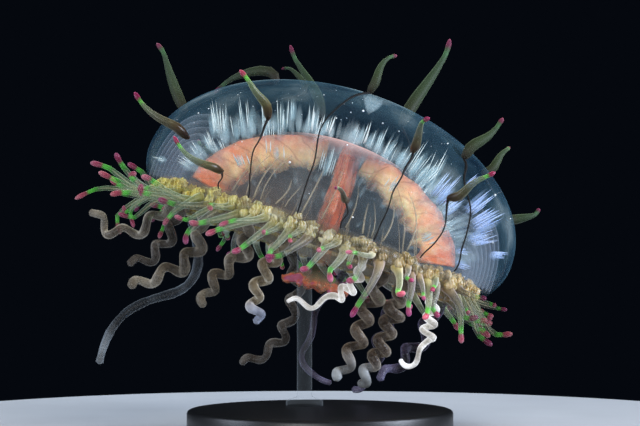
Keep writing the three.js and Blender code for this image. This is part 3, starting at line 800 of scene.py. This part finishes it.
def make_short_clubs(clubs):
    """The clubs' clear skins, and in each a paler thread of tissue."""
    skins, cores = [], []
    for line, width in clubs:
        tint = rng.random()
        skins.append(tube([(line.at(s)[0], r * width, s) for s, r in SHORT_SHAPE], 12, tint))
        cores.append(tube([(line.at(s)[0], 0.42 * width * (1 - 0.7 * s), s)
                           for s in (0.02, 0.2, 0.4, 0.6, 0.7)], 6, tint))
    skin = club_skin(
        "short_club_skin",
        [(0, "#ccb068"), (0.1, "#b4aa74"), (0.35, "#949c84"), (0.68, "#82947a"),
         (0.74, "#5ab448"), (0.82, "#66c052"), (0.85, "#984a5e"), (0.92, "#bc5270"),
         (1, "#d87e98")],
        [(0, "#fff4cc"), (0.15, "#f6f4dc"), (0.6, "#e8ecdc"), (0.74, "#c0f4a8"),
         (0.82, "#acec98"), (0.86, "#e88aa2"), (0.92, "#ffa2b6"), (1, "#ffc6d6")],
        [(0.68, 0.0), (0.73, "#0e380c"), (0.78, "#2a7a1e"), (0.83, "#0e380c"), (0.86, "#180409"),
         (1, "#240a12")],
        [(0, 0.9), (0.12, 0.65), (0.3, 0.36), (0.68, 0.26), (0.74, 0.4), (0.82, 0.5),
         (0.86, 0.6), (1, 0.8)],
        sides=[(0.1, "#c8e0d8"), (0.5, "#dce2ec"), (0.8, "#ffffff"), (0.98, "#a8b0a8")])
    core = fibre("club_core_tissue", "#efe8c8", "#d2c8a4", [(0, 0.7), (0.3, 0.25), (1, 0.0)],
                 0.5, 0.2)
    piece("short_clubs", joined(skins), [skin])
    piece("short_club_cores", joined(cores), [core])


ring_clubs = all_short_clubs()
make_ring(ring_clubs)
make_short_clubs(ring_clubs)


# ---- Gonads, stomach and lips

def make_gonad(number, azimuth, tissue):
    """
    A curtain that hangs along one radial canal, thrown into folds that deepen downwards. Its
    outer end runs on a little further down the cavity's wall than the solid.
    """
    g = GONAD
    wide, high = BELL["cavity_radius"], BELL["cavity_height"]
    first, last = asin(g["start"] / wide), asin((g["end"] + 1.2) / wide)
    across = number % 2 == 0
    bm = bmesh.new()
    bmesh.ops.create_grid(bm, x_segments=110, y_segments=20, size=0.5)
    along = bm.verts.layers.float.new("along")
    hang_layer = bm.verts.layers.float.new("hang")
    side = polar(1, azimuth + 90, 0)
    for vert in bm.verts:
        share, hang = vert.co.x + 0.5, vert.co.y + 0.5
        turn = lerp(first, last, share)
        radius, rise = wide * sin(turn), high * cos(turn)
        frill = noise.noise(Vector((radius * 0.35, number * 7.0, hang))) * (
            0.2 if across else 0.03)
        taper = 1 - 0.3 * (1 - share) ** 3 + frill * hang
        fold = sin(2 * pi * radius / g["wave"]) * g["ruffle"] * hang
        fold += sin(2 * pi * radius / (g["wave"] * 0.37) + number) * 0.35 * hang
        into = Vector((radius / wide ** 2, rise / high ** 2)).normalized()
        depth = g["clearance"] + hang * g["depth"] * taper
        vert[along], vert[hang_layer] = share, hang
        vert.co = (polar(radius - into.x * depth, azimuth, max(0.4, rise - into.y * depth))
                   + side * fold * (1 if across else 0.55))
    bmesh.ops.recalc_face_normals(bm, faces=bm.faces[:])
    bmesh.ops.solidify(bm, geom=bm.faces[:], thickness=g["thickness"] * 0.8)
    bmesh.ops.recalc_face_normals(bm, faces=bm.faces[:])
    bmesh.ops.smooth_vert(bm, verts=bm.verts[:], factor=0.4, use_axis_x=True,
                          use_axis_y=True, use_axis_z=True)
    piece(f"gonad_curtain_{number}", bm, [tissue], [f"gonad_{number}"])


def make_gullet():
    """The stomach tube and, at its end, the lips thrown into four frilled lobes."""
    s, l = STOMACH, LIPS
    swing = (Matrix.Translation((s["offset"], 0, ceiling(s["offset"])))
             @ Matrix.Rotation(-s["swing"], 4, "Y"))
    length = s["length"]
    profile = [(0, -0.6)]
    for share in [i / 30 for i in range(31)]:
        wide = lerp(0.9 * s["width"], s["width"], smooth(share * 4))
        wide = lerp(wide, s["waist"], smooth((share - 0.25) / 0.4))
        profile.append((wide, lerp(-1.2, -length, share)))
    bm = spun(profile + [(0, -length)], 40)
    mark(bm, "along", lambda vert: -vert.co.z / length)
    for vert in bm.verts:
        turn = atan2(vert.co.y, vert.co.x)
        ridge = 1 + 0.07 * cos(4 * turn) + 0.03 * cos(9 * turn + vert.co.z * 0.4)
        vert.co.x, vert.co.y = vert.co.x * ridge, vert.co.y * ridge
    piece("stomach_tube", bm, [stomach_tissue()], ["stomach"], PLACE @ swing)

    top = -length - GAP
    drop, radius, thick = l["drop"], l["radius"], l["thickness"]
    outer_side = [(s["waist"], top), *(
        (share * radius, top - fall * drop)
        for share, fall in ((0.4, 0.12), (0.62, 0.35), (0.82, 0.62), (0.95, 0.8))),
                  (radius, top - drop + thick)]
    inner_side = [(0.99 * radius, top - drop + 0.3), (0.93 * radius, top - drop),
                  (0.72 * radius, top - 0.66 * drop), (0.55 * radius, top - 0.35 * drop - thick),
                  (0.3 * radius, top - 0.2 * drop - thick), (0, top - thick)]
    bm = spun([(0, top)] + outer_side + inner_side, 144)
    mark(bm, "along", lambda vert: smooth((hypot(vert.co.x, vert.co.y) / radius - 0.45) / 0.45))
    for vert in bm.verts:
        turn = atan2(vert.co.y, vert.co.x)
        share = hypot(vert.co.x, vert.co.y) / radius
        spread = 1 + 0.22 * share ** 2 * cos(l["lobes"] * turn)
        lift = 0.5 * share ** 3 * cos(l["frills"] * turn)
        lift += 0.12 * share ** 4 * sin(29 * turn)
        vert.co.x, vert.co.y = vert.co.x * spread, vert.co.y * spread
        vert.co.z += lift
    piece("mouth_lips", bm, [lip_tissue()], ["lips"], PLACE @ swing)


peach = gonad_tissue("gonad_tissue_peach", "#e69c80", "#ecbc86", "#eed69c", "#ee7040", "#f07c38",
                     0.45, 1.0)
coral = gonad_tissue("gonad_tissue_coral", "#cc7c5e", "#d86c46", "#d86c46", "#e4562e", "#d2703e",
                     0.1, 0.05)
for number, azimuth in enumerate((3, 93, 183, 273), 1):
    make_gonad(number, azimuth, peach if number % 2 == 0 else coral)
make_gullet()


# ---- Canals, fibres and flecks in the jelly

# Canals show only this near the front and the back, as the sine of their azimuth.
SHOWN = 0.72


def make_canals():
    """
    Thin blind canals that climb the cavity's wall from the margin, front and back. The four
    main ones don't show, because the gonads hang along them.
    """
    canals = []
    for quarter in range(4):
        for i in range(1, 8):
            azimuth = 3 + 90 * quarter + 90 * i / 8 + rng.uniform(-2, 2)
            top = rng.choice((16, 22, 28, 38)) + 6 * sin(i * 2.2)
            sway = rng.uniform(-3.5, 3.5)
            if abs(sin(radians(azimuth))) < SHOWN:
                canals.append(tube([
                    (lining_point(azimuth + sway * sin(2.4 * at), lerp(2, top, at), -0.3),
                     lerp(0.36, 0.2, at), at) for at in [step / 9 for step in range(10)]], 6))
    # Finer ones lie between them.
    for i in range(32):
        azimuth = 3 + 90 * (i + 0.5) / 8 + 2 * sin(4.1 * i)
        top = 30 + 13 * sin(3.7 * i)
        if abs(sin(radians(azimuth))) < SHOWN:
            canals.append(tube([
                (lining_point(azimuth + 1.6 * sin(2.6 * at + i), lerp(2, top, at), -0.3),
                 lerp(0.24, 0.13, at), at) for at in (0, 0.25, 0.5, 0.75, 1)], 6))
    made = fibre("canal_lining", "#90866e", "#b2a88e", [(0, 0.6), (0.6, 0.48), (1, 0.15)],
                 0.5, 0.5)
    piece("radial_canals", joined(canals), [made])


def make_layers():
    """The layers of the thick edge of the jelly, one inside the other round the margin."""
    layers = []
    # Each is an arc round the same place, from 1 mm below the margin almost to its own top.
    radius, height = 46.2, 2
    for i in range(9):
        wide, tall = 1.4 + 1.15 * i, 3.6 + 2.1 * i
        turns = [lerp(-asin(3 / tall), radians(82), step / 14) for step in range(15)]
        layers.append(spun([(radius + wide * cos(turn), height + tall * sin(turn))
                            for turn in turns], 128))
    piece("jelly_layers", joined(layers), [layer_skin()])


def strand(root, way, length, width):
    """A spindle of fibres, thickest a third of the way along."""
    return tube([(root + way * length * at, width * thick, at)
                 for at, thick in ((0, 0.5), (0.3, 1), (0.65, 0.85), (1, 0.2))], 8)


# Sheaves of fibres in the jelly. Each: azimuth and latitude of the foot, its distance out from
# the cavity's wall, length, lean towards the apex in degrees, breadth, and how many strands.
SHEAVES = [
    # over the left shoulder
    (-88, 33, 3.5, 12, 22, 4, 14), (-86, 40, 0.5, 9, 12, 5, 2),
    (-87, 45, 1.5, 11.5, 9, 4, 4), (-86, 54, 1, 11, 3, 2, 4),
    (-85, 61, 0.5, 11, 2, 3, 6), (-84, 65, 4, 8, -2, 1, 2), (-80, 73, 1, 9, 0, 2.6, 5),
    (-76, 79, 1, 7, 4, 2.5, 6),
    # low on the left
    (-89, 27, 1.5, 6, 14, 2, 6), (-89, 13, 2, 5, -4, 3.4, 12), (-89, 19, 3, 6, 10, 2, 2),
    (-90, 7, 10, 4, -18, 1, 4),
    # over the crown
    (40, 84, 1, 8, 5, 1, 2), (62, 82, 1, 8, 5, 1, 2), (74, 79, 1, 9, 6, 1, 3),
    (80, 75, 0.5, 9, -3, 1.6, 3),
    # down the right shoulder
    (84, 67, 0.5, 8, 2, 3, 3), (85, 62, 0.5, 11, 4, 4, 6), (86, 56, 0.5, 10, 3, 4, 7),
    (86, 54, 1.5, 12.5, 18, 4, 4), (87, 47, 0.5, 11, 9, 4, 11), (87, 40, 0.5, 8, 7, 4, 8),
    (87, 43, 11, 6.5, 1, 1, 3),
    # the bright blue sheaves on the right, and low on the right
    (88, 33, 7, 11, 13, 3, 12), (88, 27, 7, 10, 10, 4, 20), (89, 20, 5, 9, 7, 3, 14),
    (89, 14, 11, 6, -6, 1.6, 10), (89, 16, 0.5, 4.5, -10, 1.6, 6), (90, 8, 0.5, 5, -7, 1.6, 6),
    # in front of the gonads
    (-39, 15, 4, 6, 12, 2.4, 4), (-27, 25, 4, 6, 16, 1, 3), (-6, 24, 4, 9, 24, 2, 8),
    (39, 9, 4, 5.5, 14, 2.6, 8), (47, 17, 5, 6, 0, 1, 3), (22, 29, 4, 6, 10, 1.4, 4),
    # round the far side
    (180, 68, 1, 10, 6, 5, 6), (150, 60, 1, 10, 6, 5, 6), (-152, 60, 1, 10, 6, 5, 6),
    (128, 46, 2, 10, 8, 5, 8), (-130, 46, 2, 10, 8, 5, 8), (150, 50, 2, 9, 8, 4, 6),
    (-158, 54, 2, 9, 8, 4, 6), (122, 24, 3, 9, 8, 4, 8), (-120, 24, 3, 9, 8, 4, 8),
]


def make_fibres():
    """
    White fibres that stand in sheaves in the jelly, the loose blue bundles that they lie in,
    and a frost of short bundles all over the crown of the cavity's wall.
    """
    bright, blue, soft, soft_blue, frost = [], [], [], [], []
    for azimuth, latitude, start, length, lean, breadth, count in SHEAVES:
        normal = lining_normal(azimuth, latitude)
        upward = (polar(0, 0, 1) - normal * normal.z).normalized()
        aside = normal.cross(upward)
        foot = lining_point(azimuth, latitude, start)
        main = (normal * cos(radians(lean)) + upward * sin(radians(lean)))
        across = (upward - main * upward.dot(main)).normalized()
        low = 80 < azimuth < 92 and latitude < 50
        for i in range(count):
            spot = (i + rng.uniform(0.1, 0.9)) / count - 0.5
            root = (foot + across * breadth * spot + aside * rng.gauss(0, 1.5)
                    + main * rng.uniform(-0.04, 0.12) * length)
            way = (main + across * (0.12 * spot + rng.gauss(0, 0.02))
                   + aside * rng.gauss(0, 0.03)).normalized()
            (blue if low else bright).append(strand(
                root, way, length * rng.uniform(0.5, 1.0), rng.uniform(0.09, 0.2)))
        for i in range(round(breadth / 1.5) + 1):
            spot = rng.uniform(-0.6, 0.6)
            root = foot + across * breadth * spot - main * 1.0
            way = (main + across * 0.12 * spot + aside * rng.gauss(0, 0.05)).normalized()
            (soft_blue if low else soft).append(strand(
                root, way, length * rng.uniform(0.7, 1.05), rng.uniform(0.7, 1.5)))
    for i in range(260):
        azimuth = rng.choice((-90, 90, 180, rng.uniform(100, 260))) + rng.gauss(0, 14)
        latitude = 90 * (i + rng.random()) / 260
        if latitude > 8:
            frost.append(strand(lining_point(azimuth, latitude, 0.2),
                                lining_normal(azimuth, latitude), rng.uniform(4, 10),
                                rng.uniform(0.6, 1.5)))
    # A frosty patch in the crown: a fan that opens upwards.
    foot = lining_point(90, 87.5, 10.6)
    for i in range(18):
        turn = radians(lerp(-29, 33, i / 17))
        way = Vector((sin(turn), 0.12 * sin(2.4 * i), cos(turn)))
        length = 6.3 + 0.4 * sin(5.1 * i)
        frost.append(strand(foot + way * length, -way, length, 0.7))
    for name, strands, *look in (
            ("jelly_fibres", bright, "bright_fibre", "#c0dce2", "#fafffc",
             [(0, 0.25), (0.15, 0.85), (0.7, 0.75), (1, 0.1)]),
            ("jelly_fibres_blue", blue, "blue_fibre", "#8cb8ff", "#e4f0ff",
             [(0, 0.3), (0.15, 0.9), (0.7, 0.8), (1, 0.15)]),
            ("jelly_fibre_bundles", soft, "soft_fibre", "#80b2cc", "#cae6ea",
             [(0, 0.08), (0.2, 0.2), (0.6, 0.16), (1, 0)], 0.6, 0),
            ("jelly_bundles_blue", soft_blue, "soft_blue_fibre", "#78a8f0", "#c8e0fa",
             [(0, 0.06), (0.2, 0.22), (0.6, 0.18), (1, 0)], 0.6, 0),
            ("jelly_frost", frost, "frost_fibre", "#84acc0", "#cce0e4",
             [(0, 0.2), (0.3, 0.16), (0.7, 0.08), (1, 0)], 0.6, 0)):
        piece(name, joined(strands), [fibre(*look)])


def make_flecks():
    """Small white flecks on and under the bell's skin: grains in the jelly, and painted glints.
    """
    flecks = []
    for _ in range(70):
        azimuth, latitude = rng.uniform(-180, 180), rng.uniform(-12, 88)
        size = 0.1 + 0.3 * rng.random() ** 5
        flecks.append(bead(outer_point(azimuth, latitude, rng.uniform(0.3, 5)), size))
    made = fibre("grain_and_glint_fleck", "#dfe9f2", "#ffffff", [(0, 1.0), (1, 1.0)])
    piece("white_flecks", joined(flecks), [made])


make_canals()
make_layers()
make_fibres()
make_flecks()


# ---- Long clubs on the bell

# azimuth, latitude, reach along the table's axes, size
LONG_CLUBS = [
    (-29, 24, (-7, -9, 14), 1), (-8, 78, (8, 4, 13), 0.95), (19, 32, (3, -10, 10), 1),
    (33, 16, (13, -8, 7), 1), (4, -1, (-5, -10, 4), 0.7), (-34, -7, (-14, -8, 9), 0.9),
    (-52, 5, (-16, -5, 13), 1.05), (-101, 23, (-8, 5, 23), 1.2), (-99, 59, (-20, 6, -1), 1.1),
    (-159, 51, (-12, 12, 25), 1.2), (-130, 62, (-6, 8, 10), 0.7), (152, 66, (18, 12, 28), 1.4),
    (46, 42, (12, 4, 12), 1.15), (103, 45, (10, 6, 9), 1), (100, 24, (11, 2, 2), 1.05),
    (148, 14, (9, 13, 6), 1), (-140, 10, (-11, 12, 8), 1),
]
LONG_SHAPE = [(0, 0.5), (0.03, 0.85), (0.08, 1.15), (0.15, 1.38), (0.25, 1.42), (0.35, 1.3),
              (0.45, 1.15), (0.55, 1.0), (0.65, 0.84), (0.75, 0.68), (0.82, 0.56), (0.86, 0.56),
              (0.89, 0.68), (0.93, 0.7), (0.97, 0.52), (0.995, 0.22)]
SHADED_CLUB_SHAPE = [(0, 0.7), (0.03, 1.0), (0.1, 1.35), (0.2, 1.5), (0.32, 1.45), (0.45, 1.25),
              (0.58, 1.0), (0.7, 0.76), (0.8, 0.6), (0.87, 0.56), (0.91, 0.64), (0.95, 0.6),
              (0.98, 0.4), (0.995, 0.2)]

# The cord from each club down the bell to the ring: the azimuths that it passes, foot last.
CORDS = {
    0: [-29, -27, -25, -24], 1: [-8, -11, -12, -9, -8], 2: [19, 17, 15, 15, 16],
    3: [33, 34, 33, 32], 4: [4, 5, 5], 5: [-34, -34, -35], 12: [46, 40, 43, 43, 46],
}
# This club's cord doesn't show.
CORDLESS = (6,)

# The clubs on the side that the light reaches less are given a darker, duller green all the way
# down: painted shade.
SHADED_CLUBS = (1, 7, 8, 9, 10, 11, 12, 13, 14, 15, 16)


def make_long_clubs():
    """The clubs that grow out of the bell, lit or in painted shade, and the cords below them."""
    skins, cords = {False: [], True: []}, []
    for number, (azimuth, latitude, reach, size) in enumerate(LONG_CLUBS):
        normal = outer_normal(azimuth, latitude)
        root = outer_point(azimuth, latitude) + normal * 0.1
        shift = drift(reach)
        bend = root + normal * 0.38 * shift.length
        aside = shift.cross(normal).normalized() * copysign(0.8, sin(2.6 * number))
        hook = shift.cross(aside).normalized() * 0.5
        line = Line(lambda s: bezier([root, bend, root + shift], s)
                    + aside * sin(2 * pi * s) * smooth(s * 3)
                    + hook * (90 * max(0, s - 0.8) ** 2 - sin(pi * s)), 80)
        tint = rng.random()
        dull = number in SHADED_CLUBS
        skins[dull].append(tube([(line.at(s)[0], r * size, s)
                                 for s, r in (SHADED_CLUB_SHAPE if dull else LONG_SHAPE)], 14, tint))
        if number in CORDLESS:
            continue
        feet = CORDS.get(number) or [azimuth, azimuth + rng.uniform(-3, 3),
                                     azimuth + rng.uniform(-3, 3), azimuth]
        path = []
        for step in range(33):
            share = step / 32
            at = share * (len(feet) - 1)
            low = min(int(at), len(feet) - 2)
            turn = lerp(feet[low], feet[low + 1], smooth(at - low))
            turn += 0.35 * sin(9 * share + number)
            path.append((outer_point(turn, lerp(latitude, -17, share), -0.2),
                         lerp(0.45, 0.23, min(1, share * 3)), share))
        cords.append(tube(path, 6, tint))
    bright = club_skin(
        "long_club_skin",
        [(0, "#140c08"), (0.12, "#2a2016"), (0.24, "#403824"), (0.38, "#505238"),
         (0.6, "#5c6a52"), (0.78, "#66805a"), (0.82, "#5cae48"), (0.865, "#4c9c3c"),
         (0.89, "#803048"), (1, "#a0405c")],
        [(0, "#2c1e16"), (0.2, "#5c5238"), (0.38, "#848c68"), (0.7, "#a2ac8c"),
         (0.82, "#b0ec94"), (0.87, "#98cc84"), (0.9, "#cc6a84"), (1, "#f09cb0")],
        [(0.77, 0.0), (0.81, "#0a2406"), (0.845, "#1c5414"), (0.875, "#0a2406"),
         (0.89, "#0c0208"), (1, "#12040a")],
        [(0, 1.0), (0.28, 0.95), (0.42, 0.7), (0.75, 0.58), (0.82, 0.7), (1, 0.85)])
    # A darker, duller copy of the club skin: painted shade.
    dull = club_skin(
        "long_club_skin_shaded",
        [(0, "#221e18"), (0.15, "#2c3224"), (0.4, "#32422e"), (0.75, "#364a38"),
         (0.85, "#3e6444"), (0.89, "#405640"), (0.92, "#5c3044"), (1, "#743a54")],
        [(0, "#38362a"), (0.4, "#4c5a46"), (0.8, "#5a6a54"), (0.87, "#5e8e5a"),
         (0.91, "#54684e"), (0.94, "#8c4a62"), (1, "#a06478")],
        [(0.8, 0.0), (0.86, "#041204"), (0.9, 0.0), (1, "#060104")],
        [(0, 0.9), (0.3, 0.78), (0.75, 0.62), (1, 0.75)], 0.6)
    dark = fibre("dark_cord_tissue", "#020101", "#0c0806", [(0, 1.0), (1, 0.95)], 0.8)
    for faint, name, skin in ((False, "long_clubs_near", bright), (True, "long_clubs_far", dull)):
        piece(name, joined(skins[faint]), [skin],
              [f"club_{i + 1}" for i in range(17) if (i in SHADED_CLUBS) == faint])
    piece("club_cords", joined(cords), [dark])


make_long_clubs()


# ---- Coiled feelers

# name: azimuth, handles and tip as shifts along the table's axes, turns, coil, thick, skin
FEELERS = {
    "feeler_1": (-50, (2, -2, -17), (-12, 1, -19), (-21, 0, -23), 4, 2.3, 1.7, "taupe"),
    "feeler_2": (-120, (8, 4, -43), (-26, 2, -13), (-30, 0, -47), 1.5, 0.9, 1.6, "slate"),
    "feeler_3": (-27, (3, -1, -11), (-12, 2, -14), (-13, 0, -24), 4, 2.2, 1.6, "taupe"),
    "feeler_4": (-12, (-2, -2, -7), (-11, 0, -14), (-8, -1, -25), 4.5, 2.1, 1.6, "cream"),
    "feeler_5": (18, (-1, 3, -10), (-12, 5, -14), (-22, 6, -12), 5, 1.8, 1.1, "white"),
    "feeler_6": (-172, (5, -6, -18), (-3, -10, -33), (-16, -8, -36), 5, 2, 1.6, "umber"),
    "feeler_7": (28, (-7, 2, -12), (-8, 4, -25), (-14, 3, -32), 5, 2.4, 1.7, "brown"),
    "feeler_8": (38, (-5, 2, -11), (-5, 4, -21), (-14, 4, -31), 6.5, 2.3, 1.7, "brown"),
    "feeler_9": (55, (-2, -1, -9), (-1, 1, -26), (-10, 2, -21), 4.5, 2, 1.15, "white"),
    "feeler_10": (165, (-16, -4, -19), (-17, -8, -37), (-5, -10, -36), 2.5, 1.3, 1.2, "violet"),
    "feeler_11": (140, (-5, -2, -14), (-7, -6, -28), (-14, -8, -32), 3.5, 2, 1.45, "violet"),
    "feeler_12": (110, (-5, 0, -11), (-12, -4, -20), (-20, -6, -24), 3, 2.3, 1.7, "violet"),
    "feeler_13": (-88, (-8, 0, -9), (-18, 2, -13), (-25, 2, -2), 3, 2.3, 1.45, "taupe"),
    "feeler_14": (-68, (-1, -1, -9), (-7, -2, -17), (-15, -3, -18), 3, 2.2, 1.45, "umber"),
}

# Where the coils are bunched: by this share of the length, this share of the turns is made.
BUNCHED = {"feeler_5": (0.5, 0.7), "feeler_9": (0.55, 0.75)}


def make_feeler(name, skins):
    """A feeler winds about a middle line, swelling out from it after the root."""
    azimuth, first, second, tip, turns, coil, thick, skin = FEELERS[name]
    half_way, half_wound = BUNCHED.get(name, (0.5, 0.5))
    radius = lerp(MARGIN["inner"], MARGIN["outer"], 0.3)
    root = polar(radius, azimuth, -MARGIN["depth"] - 2 * GAP - 0.6 * thick)
    handles = [root, root + drift(first), root + drift(second), root + drift(tip)]
    middle = Line(lambda s: bezier(handles, s))
    steps = max(24, int(turns * 22))
    stations, run, before = [], 0.0, None
    for i in range(steps + 1):
        at = i / steps
        place, way = middle.at(at)
        away = drift((0, 1, 0))
        across = way.cross(away).normalized()
        away = across.cross(way).normalized()
        wound = (at * half_wound / half_way if at < half_way
                 else lerp(half_wound, 1, (at - half_way) / (1 - half_way)))
        angle = 2 * pi * turns * wound
        # No two turns are quite the same size or the same way round.
        swell = coil * min(1, 4 * at) * (1 - 0.35 * at) * (1 + 0.2 * sin(
            0.52 * angle + azimuth))
        angle += 0.3 * min(1, 4 * at) * sin(0.37 * angle + 0.7 * azimuth)
        place = (place + across * swell * sin(angle)
                 + away * swell * (1 - cos(angle)) * 0.8)
        run += (place - before).length if before else 0.0
        before = place
        width = 1.06 * thick * (1 - (0.4 if skin == "white" else 0.25) * at)
        width *= 1 + 0.07 * sin(run * 0.5 + azimuth) + 0.05 * sin(run * 1.3)
        stations.append((place, width, run))
    place, way = stations[-1][0], (stations[-1][0] - stations[-2][0]).normalized()
    for out, share in ((0.35, 0.85), (0.6, 0.5), (0.7, 0.15)):
        width = thick * 0.65
        stations.append((place + way * width * out, width * share, run + width * out))
    bm = tube(stations, 12)
    mark(bm, "run", lambda vert: vert[bm.verts.layers.float["along"]])
    along = bm.verts.layers.float["along"]
    for vert in bm.verts:
        vert[along] = vert[along] / run
    single = name in ("feeler_5", "feeler_9", "feeler_13", "feeler_14")
    nodes = [name] if single else [f"{name}_upper", f"{name}_lower"]
    piece(name + "_coil", bm, [skins[skin]], nodes)


coil_skins = {skin: coil_skin("coil_tissue_" + skin, *look) for skin, *look in (
    ("taupe", "#46423c", "#6e685e", "#b0aa9c", "#8c887e", 0.64),
    ("umber", "#36322e", "#4e4a46", "#7e7a74", "#64605c", 0.55),
    ("brown", "#3e342c", "#5e544a", "#9a9082", "#98a0a6", 0.68),
    ("cream", "#5e5444", "#867c68", "#c8c2b2", "#b4c4e6", 0.72),
    ("slate", "#343a40", "#4a525a", "#7c868e", "#98a2aa", 0.42),
    # The white feelers carry a painted glow.
    ("white", "#a4a29c", "#d0cec8", "#ffffff", "#f4f6f8", 0.9, 0.34),
    ("violet", "#24222c", "#363242", "#5c5870", "#747290", 0.6))}
for name in FEELERS:
    make_feeler(name, coil_skins)


# ---- Stand

def make_stand():
    """A turned black base and a clear rod on a collar, up to the ceiling of the bell."""
    s = STAND
    wide, high, edge = s["base_radius"], s["base_height"], s["edge"]
    bm = spun([(0, 0), (wide - 0.4, 0), (wide, 0.4), (wide, high - edge),
               (wide - 0.3, high - 0.3), (wide - edge, high), (wide - 3, high), (0, high)], 160)
    made, place = material("satin_black_acrylic", "place")
    # Fine rubbed marks, 0.5 mm apart, coarser than real ones so that they show.
    rub = add(made, "TexNoise", [place, 2000, 2])
    rough = add(made, "MapRange", [rub, 0, 1, 0.28, 0.5])
    bump = add(made, "Bump", {"Strength": 0.1, "Distance": 0.0001, "Height": rub})
    finished(made, {"Base Color": "#101113", "Roughness": rough, "Normal": bump})
    base = piece("stand_base_turned", bm, [made], ["stand_base"], UPRIGHT)
    soften = base.modifiers.new("soften", "BEVEL")
    soften.width, soften.segments, soften.limit_method = 0.0002, 2, "ANGLE"

    made, place = material("clear_acrylic", "place")
    rub = add(made, "TexNoise", [place, 900, 2])
    rough = add(made, "MapRange", [rub, 0, 1, 0.04, 0.14])
    turned = add(made, "LayerWeight", [0.4]).outputs["Facing"]
    veil = add(made, "ValToRGB", [turned], [(0, 0.02), (0.55, 0.05), (0.95, 0.4)])
    finished(made, {"Base Color": "#b9c6cf", "Alpha": veil, "Roughness": rough, "IOR": 1.49})
    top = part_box("stand_rod")[1].z / MILLIMETRE
    collar, rod = s["collar_radius"], s["rod_radius"]
    bm = spun([(0, high), (collar, high), (collar, high + 1.3), (collar - 0.4, high + 1.7),
               (rod + 0.5, high + 2.7), (rod, high + 3.2), (rod, top - 1.2),
               (rod - 0.7, top - 0.4), (0, top - 0.2)], 48)
    bmesh.ops.translate(bm, vec=(*s["rod_at"], 0), verts=bm.verts[:])
    piece("stand_rod_clear", bm, [made], ["stand_rod"], UPRIGHT)


make_stand()
